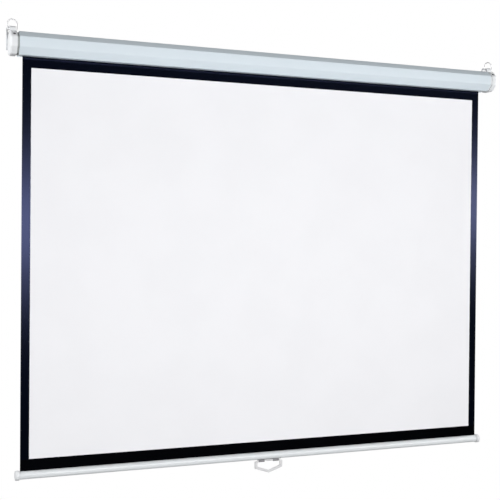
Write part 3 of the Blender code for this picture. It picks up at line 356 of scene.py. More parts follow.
@dataclass(frozen=True)
class MouldedPlastic:
    """Injection-moulded plastic: spark-eroded grain, slow flow marks and a hint of handling.

    A groove with painted shade, blended towards a dark grey-green, is given as its two places along
    X.
    """

    name: str
    colour: Colour
    shade: Colour
    roughness: float = 0.48
    grain_depth: float = 0.00003
    gloss: float = 0.4
    # Span along X of the groove with painted shade, its dark colour, and how softly the shade fades
    # in.
    dusty: Flat | None = None
    dust: Colour = (0.150, 0.170, 0.160)
    dust_fade: float = 0.0004

    def build(self) -> bpy.types.Material:
        """Make the material.

        Returns:
            The material.
        """
        kit = ShaderKit(self.name)
        flow = kit.noise(26.0, 3.0, 0.6).step(0.35, 0.7)
        grain = kit.noise(2600.0, 1.0)
        smudge = kit.noise(75.0, 4.0).step(0.5, 0.8)
        tone = kit.blend(self.colour, self.shade, flow * 0.6 + grain * 0.15)
        # Painted shade: the groove between the two X places is darkened towards the dark colour,
        # with a little noise, where a shadow gap falls.
        if self.dusty:
            start, end = self.dusty
            along = kit.axis("X", kit.place)
            groove = (along.step(start, start + self.dust_fade)
                      * (1.0 - along.step(end - self.dust_fade, end)))
            tone = kit.blend(tone, self.dust, groove * (smudge * 0.2 + 0.65))
        rough = smudge * -0.08 + grain * 0.06 + self.roughness
        return kit.finish(
            base_color=tone, roughness=rough, specular_ior_level=self.gloss,
            normal=kit.bump(grain, self.grain_depth, 0.7))


@dataclass(frozen=True)
class PlatedSteel:
    """Plated or galvanised steel: crystal spangle, drawn lines along X and dull spots."""

    name: str
    colour: Colour
    shade: Colour
    roughness: float = 0.30
    spangle: float = 160.0
    drawn: float = 0.3
    line_depth: float = 0.00001

    def build(self) -> bpy.types.Material:
        """Make the material.

        Returns:
            The material.
        """
        kit = ShaderKit(self.name)
        patch = kit.axis("X", kit.cells(self.spangle, "Color").socket)
        lines = kit.noise((8.0, 1500.0, 1500.0), 2.0)
        spots = kit.noise(90.0, 5.0, 0.6).step(0.5, 0.75)
        tone = kit.blend(self.colour, self.shade, patch * 0.55 + lines * self.drawn * 0.5)
        rough = patch * 0.12 + spots * 0.16 + lines * self.drawn * 0.2 + self.roughness
        return kit.finish(
            base_color=tone, metallic=1.0, roughness=rough,
            normal=kit.bump(lines, self.line_depth, self.drawn))


@dataclass(frozen=True)
class BlackOxide:
    """Blackened steel that shines through a little on its high spots."""

    name: str
    colour: Colour = (0.014, 0.014, 0.016)
    worn: Colour = (0.09, 0.09, 0.095)

    def build(self) -> bpy.types.Material:
        """Make the material.

        Returns:
            The material.
        """
        kit = ShaderKit(self.name)
        wear = kit.noise(700.0, 4.0, 0.6).step(0.58, 0.8)
        tone = kit.blend(self.colour, self.worn, wear)
        return kit.finish(base_color=tone, metallic=wear * 0.8, roughness=wear * -0.15 + 0.46)


@dataclass(frozen=True)
class SpringSteel:
    """Oil-tempered wire: dark, slightly blued and streaked."""

    name: str
    colour: Colour = (0.20, 0.20, 0.22)
    blued: Colour = (0.10, 0.11, 0.15)
    streak_depth: float = 0.00001

    def build(self) -> bpy.types.Material:
        """Make the material.

        Returns:
            The material.
        """
        kit = ShaderKit(self.name)
        streak = kit.noise(320.0, 4.0, 0.6)
        tone = kit.blend(self.colour, self.blued, streak.step(0.35, 0.7))
        return kit.finish(
            base_color=tone, metallic=1.0, roughness=streak * 0.2 + 0.22,
            normal=kit.bump(streak, self.streak_depth, 0.4))


@dataclass(frozen=True)
class ScreenCloth:
    """Front of the coated projection cloth: matt white with a printed black border."""

    name: str
    white: Colour = (0.875, 0.875, 0.895)
    clouding: float = 0.985
    black: Colour = (0.0003, 0.0010, 0.0026)
    sheen: Colour = (0.40, 0.47, 1.0)
    gloss: float = 0.26
    half_width: float = 0.800
    top: float = 0.067
    bottom: float = 1.267
    edge: float = 0.0004
    wander: float = 0.0003

    def build(self) -> bpy.types.Material:
        """Make the material.

        Returns:
            The material.
        """
        kit = ClothKit(self.name)
        wander = kit.noise(90.0, 2.0) * self.wander
        inside = (abs(kit.across) + wander).step(
            self.half_width + self.edge, self.half_width - self.edge)
        below = (kit.down + wander).step(self.top - self.edge, self.top + self.edge)
        above = kit.down.step(self.bottom + self.edge, self.bottom - self.edge)
        white = inside * below * above
        clouded = tuple(self.clouding * channel for channel in self.white)
        drift = kit.blend(self.white, clouded, kit.noise(5.0).step(0.35, 0.65))
        return kit.finish(
            base_color=kit.blend(self.black, drift, white),
            roughness=white * 0.63 + kit.grain * 0.03 + 0.17,
            specular_ior_level=self.gloss, specular_tint=self.sheen, normal=kit.weave(0.25))


@dataclass(frozen=True)
class BlackCloth:
    """The cloth's plain black stretches and its back, with the same fine grain."""

    name: str
    black: Colour = (0.0003, 0.0004, 0.0008)
    faded: Colour = (0.0008, 0.0010, 0.0016)
    sheen: Colour = (0.75, 0.80, 1.0)
    gloss: float = 0.08

    def build(self) -> bpy.types.Material:
        """Make the material.

        Returns:
            The material.
        """
        kit = ClothKit(self.name)
        return kit.finish(
            base_color=kit.blend(self.black, self.faded, kit.noise(14.0, 4.0).step(0.4, 0.8)),
            roughness=kit.grain * 0.04 + 0.22,
            specular_ior_level=self.gloss, specular_tint=self.sheen, normal=kit.weave(0.3))


class Finishes:
    """Every finish on the screen, made once."""

    def __init__(self) -> None:
        """Build the materials."""
        self.case_paint = StovedPaint(
            "case_paint", (0.684, 0.762, 0.816), (0.659, 0.737, 0.791)).build()
        self.bar_paint = StovedPaint(
            "bar_paint", (0.760, 0.790, 0.805), (0.735, 0.765, 0.785),
            roughness=0.32, gloss=0.5).build()
        # The caps get painted shade in the left cap's neck groove only.
        self.cap = MouldedPlastic(
            "cap_plastic", (0.80, 0.815, 0.835), (0.765, 0.785, 0.80),
            dusty=(-0.8490, -0.8425)).build()
        self.handle = MouldedPlastic(
            "handle_plastic", (0.73, 0.73, 0.74), (0.68, 0.68, 0.69),
            roughness=0.3, grain_depth=0.00001, gloss=0.5).build()
        self.clip = MouldedPlastic(
            "clip_plastic", (0.26, 0.26, 0.27), (0.21, 0.21, 0.22), roughness=0.5).build()
        self.nylon = MouldedPlastic(
            "nylon", (0.70, 0.68, 0.60), (0.64, 0.62, 0.53), roughness=0.42).build()
        self.zinc = PlatedSteel("zinc_plate", (0.74, 0.76, 0.78), (0.62, 0.64, 0.66)).build()
        self.ring = PlatedSteel(
            "ring_plate", (0.74, 0.74, 0.75), (0.62, 0.62, 0.64),
            roughness=0.34, spangle=400.0, drawn=0.1).build()
        self.tube = PlatedSteel(
            "galvanised_tube", (0.58, 0.60, 0.62), (0.44, 0.46, 0.48),
            roughness=0.34, spangle=90.0).build()
        self.oxide = BlackOxide("black_oxide").build()
        self.spring = SpringSteel("spring_steel").build()
        self.cloth = ScreenCloth("screen_cloth").build()
        self.black_cloth = BlackCloth("black_cloth").build()


@dataclass(frozen=True)
class Rounding:
    """Rounding of edges: its width, its facets, and the angle in degrees that counts as hard."""

    width: float = 0.0003
    segments: int = 2
    angle: float = 38.0


class Maker:
    """Turns outlines, profiles and copies of solids into finished pieces.

    Points closer than a merging distance become one. Angles are in degrees.
    """

    SMOOTH = 35.0
    SMALL_STEPS = 32
    TURNED_MERGE = 0.000002
    SOLID_MERGE = 0.000004
    FLAT_ANGLE = 0.6

    @staticmethod
    def shade(mesh: bpy.types.Mesh, angle: float = SMOOTH) -> None:
        """Shade a mesh smooth where its faces meet at less than an angle in degrees."""
        mesh.shade_smooth()
        mesh.set_sharp_from_angle(angle=math.radians(angle))

    @classmethod
    def object_of(cls, name: str, shape: bmesh.types.BMesh, material: bpy.types.Material,
                  smooth: float = SMOOTH) -> bpy.types.Object:
        """Close a bmesh into an object at the origin, with outward faces and one material.

        Args:
            name: The object's name.
            shape: The bmesh, which is freed.
            material: The object's finish.
            smooth: Angle in degrees under which the shading is smooth.

        Returns:
            The object.
        """
        bmesh.ops.recalc_face_normals(shape, faces=shape.faces)
        mesh = bpy.data.meshes.new(name)
        shape.to_mesh(mesh)
        shape.free()
        mesh.materials.append(material)
        cls.shade(mesh, smooth)
        item = bpy.data.objects.new(name, mesh)
        bpy.context.scene.collection.objects.link(item)
        return item

    @classmethod
    def lathe(cls, name: str, profile: Sequence[Flat], material: bpy.types.Material,
              centre: Point = ORIGIN, facing: Side = Side.RIGHT, steps: int = 96,
              closed: bool = False) -> bpy.types.Object:
        """Turn a profile of (radius, distance along X) about an axis parallel to X.

        Args:
            name: The piece's name.
            profile: Radius and distance, outer side first.
            material: The piece's finish.
            centre: A point on the axis, from which the distances run.
            facing: The side that the distances run to.
            steps: Number of facets round the axis.
            closed: Whether the profile joins its own start, as on a tube.

        Returns:
            The piece.
        """
        shape = bmesh.new()
        row = [shape.verts.new((facing.value * far, 0.0, radius)) for radius, far in profile]
        edges = [shape.edges.new(pair) for pair in zip(row, row[1:])]
        if closed:
            edges.append(shape.edges.new((row[-1], row[0])))
        bmesh.ops.spin(
            shape, geom=row + edges, cent=ORIGIN, axis=(1.0, 0.0, 0.0), angle=math.tau,
            steps=steps, use_merge=True)
        bmesh.ops.remove_doubles(shape, verts=shape.verts, dist=cls.TURNED_MERGE)
        bmesh.ops.translate(shape, verts=shape.verts, vec=centre)
        return cls.object_of(name, shape, material)

    @classmethod
    def drill(cls, name: str, profile: Sequence[Flat], place: Point, turn: str,
              material: bpy.types.Material) -> bpy.types.Object:
        """Make a turned cutter that doesn't lie along X.

        Args:
            name: The cutter's name.
            profile: Radius and distance, as for the lathe.
            place: The point from which the distances run.
            turn: The axis of a quarter turn: Z points it at +Y, and Y points it at -Z.
            material: The finish of the walls that it cuts.

        Returns:
            The cutter.
        """
        tool = cls.lathe(name, profile, material, steps=cls.SMALL_STEPS)
        tool.matrix_world = Matrix.Translation(place) @ Matrix.Rotation(QUARTER_TURN, 4, turn)
        cls.settle(tool)
        return tool

    @classmethod
    def extrude(cls, name: str, outline: Sequence[Flat], low: float, high: float,
                material: bpy.types.Material, slices: int) -> bpy.types.Object:
        """Run a closed outline along X.

        Args:
            name: The piece's name.
            outline: Its section's corners in Y and Z.
            low: Where it starts.
            high: Where it ends.
            material: The piece's finish.
            slices: Number of stretches along it.

        Returns:
            The piece.
        """
        shape = bmesh.new()
        rings = [[shape.verts.new((place, across, up)) for across, up in outline]
                 for place in spread(low, high, slices)]
        for near, far in zip(rings, rings[1:]):
            for index in range(len(outline)):
                after = (index + 1) % len(outline)
                shape.faces.new((near[index], near[after], far[after], far[index]))
        shape.faces.new(rings[0])
        shape.faces.new(rings[-1][::-1])
        return cls.object_of(name, shape, material)

    @classmethod
    def block(cls, name: str, size: Point, centre: Point,
              material: bpy.types.Material) -> bpy.types.Object:
        """Make a plain block.

        Args:
            name: The block's name.
            size: Its size along each axis.
            centre: Its middle.
            material: Its finish.

        Returns:
            The block.
        """
        shape = bmesh.new()
        bmesh.ops.create_cube(shape, size=1.0)
        bmesh.ops.scale(shape, vec=size, verts=shape.verts)
        bmesh.ops.translate(shape, vec=centre, verts=shape.verts)
        return cls.object_of(name, shape, material)

    @classmethod
    def softened(cls, node: str, name: str, material: bpy.types.Material,
                 edge: Rounding = Rounding()) -> bpy.types.Object:
        """Copy a solid with its doubles merged and its hard edges rounded.

        Args:
            node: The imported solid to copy.
            name: The piece's name.
            material: The piece's finish.
            edge: The rounding of its edges.

        Returns:
            The piece, which replaces the node.
        """
        shape = bmesh.new()
        shape.from_mesh(bpy.data.objects[node].data)
        bmesh.ops.remove_doubles(shape, verts=shape.verts, dist=cls.SOLID_MERGE)
        bmesh.ops.dissolve_limit(shape, angle_limit=math.radians(cls.FLAT_ANGLE),
                                 verts=shape.verts, edges=shape.edges)
        item = cls.object_of(name, shape, material, edge.angle)
        bevel = item.modifiers.new("rounding", "BEVEL")
        bevel.width = edge.width
        bevel.segments = edge.segments
        bevel.limit_method = "ANGLE"
        bevel.angle_limit = math.radians(edge.angle)
        bevel.use_clamp_overlap = True
        bevel.harden_normals = True
        cls.settle(item)
        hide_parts(node)
        return item

    @staticmethod
    def settle(item: bpy.types.Object) -> None:
        """Apply an object's modifiers and its place to its mesh.

        Args:
            item: The object, which ends at the origin.
        """
        graph = bpy.context.evaluated_depsgraph_get()
        graph.update()
        mesh = bpy.data.meshes.new_from_object(item.evaluated_get(graph))
        item.modifiers.clear()
        mesh.transform(item.matrix_world)
        item.data = mesh
        item.matrix_world = Matrix.Identity(4)

    @classmethod
    def cut(cls, target: bpy.types.Object, *tools: bpy.types.Object) -> None:
        """Cut tools from a piece and delete them.

        Args:
            target: The piece.
            tools: The solids to take away from it.
        """
        for tool in tools:
            modifier = target.modifiers.new("cut", "BOOLEAN")
            modifier.operation = "DIFFERENCE"
            modifier.solver = "EXACT"
            modifier.object = tool
        cls.settle(target)
        cls.shade(target.data)
        for tool in tools:
            bpy.data.objects.remove(tool, do_unlink=True)

    @staticmethod
    def map_cloth(item: bpy.types.Object) -> None:
        """Lay a UV map in metres on a cloth: X to U, and the distance down to V.

        Args:
            item: The piece of cloth.
        """
        layer = item.data.uv_layers.new(name="cloth")
        for loop in item.data.loops:
            place = item.data.vertices[loop.vertex_index].co
            layer.data[loop.index].uv = (place.x, -place.z)

    @staticmethod
    def hand_over(item: bpy.types.Object, body: Body, slot: str, *nodes: str) -> None:
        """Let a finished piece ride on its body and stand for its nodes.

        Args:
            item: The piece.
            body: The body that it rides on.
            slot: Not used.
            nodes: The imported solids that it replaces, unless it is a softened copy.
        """
        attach(item, body.value)
        if nodes:
            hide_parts(*nodes)
        LOG.info("%s rides on %s", item.name, body.value)


class GeometryTree:
    """Geometry Nodes tree with named inputs, whose result becomes a plain mesh."""

    MERGE = 0.000001
    SMOOTH = 38.0

    def __init__(self, name: str, inputs: dict[str, str]) -> None:
        """Open the tree.

        Args:
            name: The tree's name.
            inputs: The socket type of each named input, apart from the finish.
        """
        self.tree = bpy.data.node_groups.new(name, "GeometryNodeTree")
        ports = self.tree.interface
        ports.new_socket("Geometry", in_out="OUTPUT", socket_type="NodeSocketGeometry")
        ports.new_socket("Geometry", in_out="INPUT", socket_type="NodeSocketGeometry")
        self.sockets = {
            key: ports.new_socket(key, in_out="INPUT", socket_type=kind).identifier
            for key, kind in {**inputs, "Finish": "NodeSocketMaterial"}.items()}
        self.build = NodeBuilder(self.tree)
        self.source = self.build.add("NodeGroupInput")

    def close(self, geometry: bpy.types.NodeSocket) -> None:
        """Make the instances real, give them their finish and pass them out.

        Args:
            geometry: The output that carries the finished geometry.
        """
        real = self.build.add("GeometryNodeRealizeInstances", None, {0: geometry})
        done = self.build.add("GeometryNodeSetMaterial", None, {
            0: real.outputs[0], "Material": self.source.outputs["Finish"]})
        self.build.add("NodeGroupOutput", None, {0: done.outputs[0]})

    def run(self, name: str, mesh: bpy.types.Mesh, values: dict[str, object],
            material: bpy.types.Material) -> bpy.types.Object:
        """Run the tree on a mesh.

        Args:
            name: The piece's name.
            mesh: The mesh that goes in.
            values: The values of the named inputs.
            material: The piece's finish.

        Returns:
            The piece as a plain mesh with outward faces.
        """
        item = bpy.data.objects.new(name, mesh)
        bpy.context.scene.collection.objects.link(item)
        modifier = item.modifiers.new("build", "NODES")
        modifier.node_group = self.tree
        for key, value in {**values, "Finish": material}.items():
            modifier[self.sockets[key]] = value
        Maker.settle(item)
        shape = bmesh.new()
        shape.from_mesh(item.data)
        bmesh.ops.remove_doubles(shape, verts=shape.verts, dist=self.MERGE)
        bmesh.ops.recalc_face_normals(shape, faces=shape.faces)
        shape.to_mesh(item.data)
        shape.free()
        item.data.materials.clear()
        item.data.materials.append(material)
        Maker.shade(item.data, self.SMOOTH)
        return item


class PathTree(GeometryTree):
    """Sweeps a round wire along a path."""

    def __init__(self) -> None:
        """Build the tree."""
        super().__init__("wire_along_path", {
            "Wire Radius": "NodeSocketFloat", "Sides": "NodeSocketInt"})
        given = self.source.outputs
        path = self.build.add("GeometryNodeMeshToCurve", None, {0: given["Geometry"]})
        section = self.build.add("GeometryNodeCurvePrimitiveCircle", None, {
            "Resolution": given["Sides"], "Radius": given["Wire Radius"]})
        swept = self.build.add("GeometryNodeCurveToMesh", None, {
            "Curve": path.outputs[0], "Profile Curve": section.outputs[0], "Fill Caps": True})
        self.close(swept.outputs[0])

    def sweep(self, name: str, path: Sequence[Point], radius: float, sides: int,
              material: bpy.types.Material) -> bpy.types.Object:
        """Make a wire.

        Args:
            name: The piece's name.
            path: The points of its centre line.
            radius: The wire's radius.
            sides: Number of facets round it.
            material: The piece's finish.

        Returns:
            The wire.
        """
        mesh = bpy.data.meshes.new(name)
        mesh.from_pydata(path, [(index, index + 1) for index in range(len(path) - 1)], [])
        return self.run(name, mesh, {"Wire Radius": radius, "Sides": sides}, material)


class FastenerTree(GeometryTree):
    """Sets one fastener at every point, along the point's own direction."""

    def __init__(self) -> None:
        """Build the tree."""
        super().__init__("fastener_set", {
            "Fastener": "NodeSocketObject", "Size": "NodeSocketFloat"})
        given = self.source.outputs
        facing = self.build.add(
            "GeometryNodeInputNamedAttribute", {"data_type": "FLOAT_VECTOR"}, {"Name": "facing"})
        turn = self.build.add("FunctionNodeAlignRotationToVector", {"axis": "Z"}, {
            "Vector": facing.outputs[0]})
        piece = self.build.add("GeometryNodeObjectInfo", None, {0: given["Fastener"]})
        placed = self.build.add("GeometryNodeInstanceOnPoints", None, {
            "Points": given["Geometry"], "Instance": piece.outputs["Geometry"],
            "Rotation": turn.outputs[0], "Scale": given["Size"]})
        self.close(placed.outputs[0])

    def place(self, name: str, fastener: bpy.types.Object, spots: Sequence[tuple[Point, Point]],
              material: bpy.types.Material) -> bpy.types.Object:
        """Set a fastener at each spot, as one piece, and delete the pattern.

        Args:
            name: The piece's name.
            fastener: The pattern, whose head faces +Z.
            spots: The place of each fastener and the direction that its head faces.
            material: The piece's finish.

        Returns:
            The set of fasteners.
        """
        mesh = bpy.data.meshes.new(name)
        mesh.from_pydata([place for place, _ in spots], [], [])
        facing = mesh.attributes.new("facing", "FLOAT_VECTOR", "POINT")
        facing.data.foreach_set("vector", [part for _, way in spots for part in way])
        item = self.run(name, mesh, {"Fastener": fastener, "Size": 1.0}, material)
        bpy.data.objects.remove(fastener, do_unlink=True)
        return item


class Fillet:
    """Rounds the corners of paths."""

    @classmethod
    def corners(cls, points: Sequence[Flat], radius: float, steps: int) -> list[Flat]:
        """Round every inner corner of a path.

        Args:
            points: The path's corners, from end to end.
            radius: Radius of the rounding.
            steps: Number of facets in each arc.

        Returns:
            The rounded path.
        """
        rounded = [points[0]]
        for before, corner, after in zip(points, points[1:], points[2:]):
            rounded += cls._arc(before, corner, after, radius, steps)
        return rounded + [points[-1]]

    @staticmethod
    def _arc(before: Flat, corner: Flat, after: Flat, radius: float, steps: int) -> list[Flat]:
        """Round one corner.

        Args:
            before: The point before the corner.
            corner: The corner.
            after: The point after it.
            radius: Radius of the rounding.
            steps: Number of facets in the arc.

        Returns:
            The arc's points.
        """
        here = Vector(corner)
        back = (Vector(before) - here).normalized()
        ahead = (Vector(after) - here).normalized()
        half = math.acos(back.dot(ahead)) / 2
        centre = here + (back + ahead).normalized() * (radius / math.sin(half))
        first = here + back * (radius / math.tan(half)) - centre
        last = here + ahead * (radius / math.tan(half)) - centre
        start = math.atan2(first.y, first.x)
        sweep = (math.atan2(last.y, last.x) - start + math.pi) % math.tau - math.pi
        return [round_spot(centre, radius, angle) for angle in spread(start, start + sweep, steps)]


@dataclass
class CrossHead:
    """Screw with a cross recess in its head, which faces +Z."""

    name: str
    material: bpy.types.Material
    head: float
    shank: float
    height: float
    length: float
    rim: float = 0.0001
    skirt: float = 0.35
    slot_width: float = 0.0008
    slot_length: float = 0.0036
    slot_depth: float = 0.0008

    def countersunk(self) -> bpy.types.Object:
        """Make a flat head, whose top is at the origin, on a pointed shank.

        Returns:
            The screw.
        """
        return self._recessed([
            (0.0, 0.0), (self.head - self.rim, 0.0), (self.head, -self.rim),
            (self.shank, -self.height), (self.shank, -self.length),
            (0.0, -self.length - self.shank)], 0.0)

    def pan(self) -> bpy.types.Object:
        """Make a domed head, whose seat is at the origin, on a blunt shank.

        Returns:
            The screw.
        """
        dome = [(self.head * math.sin(angle),
                 self.height * (self.skirt + (1.0 - self.skirt) * math.cos(angle)))
                for angle in spread(0.0, QUARTER_TURN, 6)]
        return self._recessed(dome + [
            (self.head, 0.0), (self.shank, 0.0), (self.shank, -self.length),
            (0.0, -self.length)], self.height)

    def _recessed(self, profile: list[Flat], top: float) -> bpy.types.Object:
        """Turn a profile and sink the cross into its top.

        Args:
            profile: Radius and distance along the screw.
            top: How high the head stands.

        Returns:
            The screw.
        """
        screw = Maker.lathe(self.name, profile, self.material, steps=Maker.SMALL_STEPS)
        slots = ((self.slot_width, self.slot_length), (self.slot_length, self.slot_width))
        Maker.cut(screw, *(
            Maker.block(f"{self.name}_cross", (2 * self.slot_depth, *slot), (top, 0.0, 0.0),
                        self.material) for slot in slots))
        screw.data.transform(Matrix.Rotation(-QUARTER_TURN, 4, "Y"))
        return screw


@dataclass
class ScreenCase:
    """Folded steel case with its moulded end caps, ears and screws."""

    finishes: Finishes
    fasteners: FastenerTree
    back_bevel: float = 0.019
    top_bevel: float = 0.018
    low_bevel: float = 0.021
    wall: float = 0.0012
    bend: float = 0.003
    bend_steps: int = 8
    slot_back: float = -0.021
    slot_front: float = -0.036
    lip: float = 0.005
    slices: int = 8
    cap_edge: Rounding = Rounding(width=0.0006, segments=3, angle=28.0)
    hole: float = 0.0019
    sink: float = 0.0037
    sink_depth: float = 0.001
    drill_rim: float = 0.0062
    drill_height: float = 0.003
    drill_depth: float = 0.006
    dark_seat: float = 0.00115

    def build(self) -> None:
        """Make the shell, the caps, the ears and their screws."""
        self._shell()
        for word in (side.word for side in Side):
            cap = Maker.softened(
                f"end_cap_{word}", f"moulded_cap_{word}", self.finishes.cap, self.cap_edge)
            Maker.hand_over(cap, Body.CASE, "cap_plastic")
            ear = Maker.softened(f"wall_ear_{word}", f"steel_ear_{word}", self.finishes.zinc)
            Maker.hand_over(ear, Body.CASE, "zinc_plate")
        self._flush_screws()
        self._cap_screws()

    def _shell(self) -> None:
        """Make the folded shell, with the countersunk hole at each end of its back."""
        near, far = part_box("case_shell")
        shell = Maker.extrude(
            "folded_case", self._outline(near.y, near.z, far.z), near.x, far.x,
            self.finishes.case_paint, self.slices)
        profile = [
            (0.0, self.drill_height), (self.drill_rim, self.drill_height), (self.sink, 0.0),
            (self.hole, -self.sink_depth), (self.hole, -self.drill_depth),
            (0.0, -self.drill_depth)]
        tools = []
        for side in Side:
            screw = middle_of(f"shell_screw_{side.word}")
            tools.append(Maker.drill(
                f"countersink_{side.word}", profile, (screw.x, 0.0, screw.z), "Z",
                self.finishes.zinc))
        Maker.cut(shell, *tools)
        Maker.hand_over(shell, Body.CASE, "case_paint", "case_shell")

    def _outline(self, front: float, low: float, high: float) -> list[Flat]:
        """Draw the folded sheet's section.

        Args:
            front: Where the case's front lies.
            low: Where its underside lies.
            high: Where its top lies.

        Returns:
            One closed outline, outer side first.
        """
        back, upper, lower = self.back_bevel, self.top_bevel, self.low_bevel
        path = [
            (self.slot_back, low + self.lip), (self.slot_back, low), (-back, low),
            (0.0, low + back), (0.0, high - back), (-back, high), (front + upper, high),
            (front, high - upper), (front, low + lower), (front + lower, low),
            (self.slot_front, low), (self.slot_front, low + self.lip)]
        outer = path[:2] + Fillet.corners(path[2:-2], self.bend, self.bend_steps) + path[-2:]
        return outer + self._inset(outer)[::-1]

    def _inset(self, path: Sequence[Flat]) -> list[Flat]:
        """Move a path to its left by the wall's thickness.

        Args:
            path: The path's points, from end to end.

        Returns:
            The moved path.
        """
        spots = [Vector(spot) for spot in path]
        ways = [(after - here).normalized() for here, after in zip(spots, spots[1:])]
        moved = []
        for here, first, last in zip(spots, ways[:1] + ways, ways + ways[-1:]):
            along = (first + last).normalized()
            normal = Vector((-along.y, along.x))
            moved.append(tuple(here + normal * (self.wall / along.dot(first))))
        return moved

    def _flush_screws(self) -> None:
        """Set the countersunk screws of the ears and of the case's back."""
        zinc = self.finishes.zinc
        screw = CrossHead(
            "flush_screw", zinc, head=0.0034, shank=0.0016, height=0.0018, length=0.0100)
        nodes = [f"ear_screw_{side.word}_{level}" for side in Side for level in ("upper", "lower")]
        nodes += [f"shell_screw_{side.word}" for side in Side]
        spots = []
        for node in nodes:
            middle, back = middle_of(node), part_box(node)[1].y
            spots.append(((middle.x, back, middle.z), (0.0, 1.0, 0.0)))
        item = self.fasteners.place("flush_screws", screw.countersunk(), spots, zinc)
        Maker.hand_over(item, Body.CASE, "zinc_plate", *nodes)

    def _cap_screws(self) -> None:
        """Set the dark screw at the bottom of each cap's recess."""
        oxide = self.finishes.oxide
        screw = CrossHead(
            "dark_screw", oxide, head=0.0042, shank=0.0016, height=0.0022, length=0.0060)
        nodes = [f"cap_screw_{side.word}" for side in Side]
        way = Vector((0.0, -1.0, 1.0)).normalized()
        spots = [(tuple(middle_of(node) + way * self.dark_seat), tuple(way)) for node in nodes]
        item = self.fasteners.place("cap_screws", screw.pan(), spots, oxide)
        Maker.hand_over(item, Body.CASE, "black_screw", *nodes)


@dataclass
class HangingRings:
    """Wire rings that stand over the lugs of the end caps."""

    finishes: Finishes
    wires: PathTree
    wire: float = 0.0015
    wire_sides: int = 20
    foot: float = 0.003
    bend: float = 0.003
    bend_steps: int = 10
    arch_steps: int = 30

    def build(self) -> None:
        """Bend one ring for each end."""
        for side in Side:
            node = f"hanging_ring_{side.word}"
            low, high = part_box(node)
            centre = (low + high) / 2
            axis = Vector((centre.x, centre.y, low.z + self.wire))
            half, top = (high.x - low.x) / 2 - self.wire, high.z - self.wire - axis.z
            path = [tuple(axis + Vector((across, 0.0, up))) for across, up in self._path(half, top)]
            ring = self.wires.sweep(
                f"wire_ring_{side.word}", path, self.wire, self.wire_sides, self.finishes.ring)
            Maker.hand_over(ring, Body(f"{side.word}_ring"), "ring_steel", node)

    def _path(self, half: float, top: float) -> list[Flat]:
        """Draw the wire's centre line.

        Args:
            half: Half of its width.
            top: How high it stands over its feet.

        Returns:
            The line, from one foot over the top to the other.
        """
        crown = top - half
        leg = Fillet.corners(
            [(self.foot, 0.0), (half, 0.0), (half, crown)], self.bend, self.bend_steps)
        arch = [round_spot((0.0, crown), half, angle)
                for angle in spread(0.0, math.pi, self.arch_steps)[1:-1]]
        return leg + arch + [(-across, up) for across, up in reversed(leg)]


@dataclass
class RollerDrive:
    """Roller with its turns of cloth, bearings, spring and lock."""

    finishes: Finishes
    wires: PathTree
    axis: Flat = (-0.04255, 0.0)
    tube: float = 0.016
    tube_wall: float = 0.0013
    tube_edge: float = 0.0002
    wound_inner: float = 0.0163
    cloth: float = 0.00030
    turns: float = 1.6
    turn_rise: float = 0.00034
    turn_steps: int = 150
    coil_radius: float = 0.009
    coil_wire: float = 0.0008
    wire_sides: int = 10
    coils: int = 21
    coil_steps: int = 28
    roll_slices: int = 4
    fine_edge: Rounding = Rounding(width=0.0002)

    def build(self) -> None:
        """Make every piece inside the case."""
        self._tube()
        self._wound_cloth()
        self._spring()
        self._fittings()

    def _tube(self) -> None:
        """Make the rolled steel tube."""
        half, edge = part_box("roller_tube")[1].x, self.tube_edge
        inner = self.tube - self.tube_wall
        tube = Maker.lathe(
            "steel_tube",
            [(self.tube - edge, half), (self.tube, half - edge), (self.tube, edge - half),
             (self.tube - edge, -half), (inner, -half), (inner, half)],
            self.finishes.tube, (0.0, *self.axis), closed=True)
        Maker.hand_over(tube, Body.ROLLER, "tube_steel", "roller_tube")

    def _wound_cloth(self) -> None:
        """Wind the turns of cloth that stay on the roller, as one spiral."""
        outer, inner = [], []
        for angle in spread(0.0, math.tau * self.turns, self.turn_steps):
            radius = self.wound_inner + self.turn_rise * angle / math.tau
            inner.append(round_spot(self.axis, radius, -angle))
            outer.append(round_spot(self.axis, radius + self.cloth, -angle))
        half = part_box("wound_fabric")[1].x
        roll = Maker.extrude(
            "wound_cloth", outer + inner[::-1], -half, half, self.finishes.black_cloth,
            self.roll_slices)
        Maker.map_cloth(roll)
        Maker.hand_over(roll, Body.ROLLER, "black_sheet", "wound_fabric")

    def _spring(self) -> None:
        """Wind the torsion spring between its collar and its anchor."""
        low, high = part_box("torsion_spring")
        steps = self.coils * self.coil_steps
        places = spread(low.x + self.coil_wire, high.x - self.coil_wire, steps)
        angles = spread(0.0, math.tau * self.coils, steps)
        path = [(place, *round_spot(self.axis, self.coil_radius, angle))
                for place, angle in zip(places, angles)]
        spring = self.wires.sweep(
            "coil_spring", path, self.coil_wire, self.wire_sides, self.finishes.spring)
        Maker.hand_over(spring, Body.CASE, "spring_steel", "torsion_spring")

    def _fittings(self) -> None:
        """Copy the bearings, the pawls, the ratchet and the spring's fittings."""
        nylon, zinc = (self.finishes.nylon, "nylon"), (self.finishes.zinc, "zinc_plate")
        steel = (self.finishes.spring, "spring_steel")
        groups = (
            (Body.ROLLER, nylon, ("idle_plug", "lock_head")),
            (Body.ROLLER, zinc, ("idle_pin", "spring_anchor", "pawl_pin_upper", "pawl_pin_lower")),
            (Body.UPPER_PAWL, steel, ("pawl_upper",)),
            (Body.LOWER_PAWL, steel, ("pawl_lower",)),
            (Body.CASE, nylon, ("idle_bush",)),
            (Body.CASE, zinc, ("tang_holder", "spring_spindle", "ratchet_disc", "spring_collar")))
        for body, (material, slot), nodes in groups:
            for node in nodes:
                item = Maker.softened(node, f"fine_{node}", material, self.fine_edge)
                Maker.hand_over(item, body, slot)


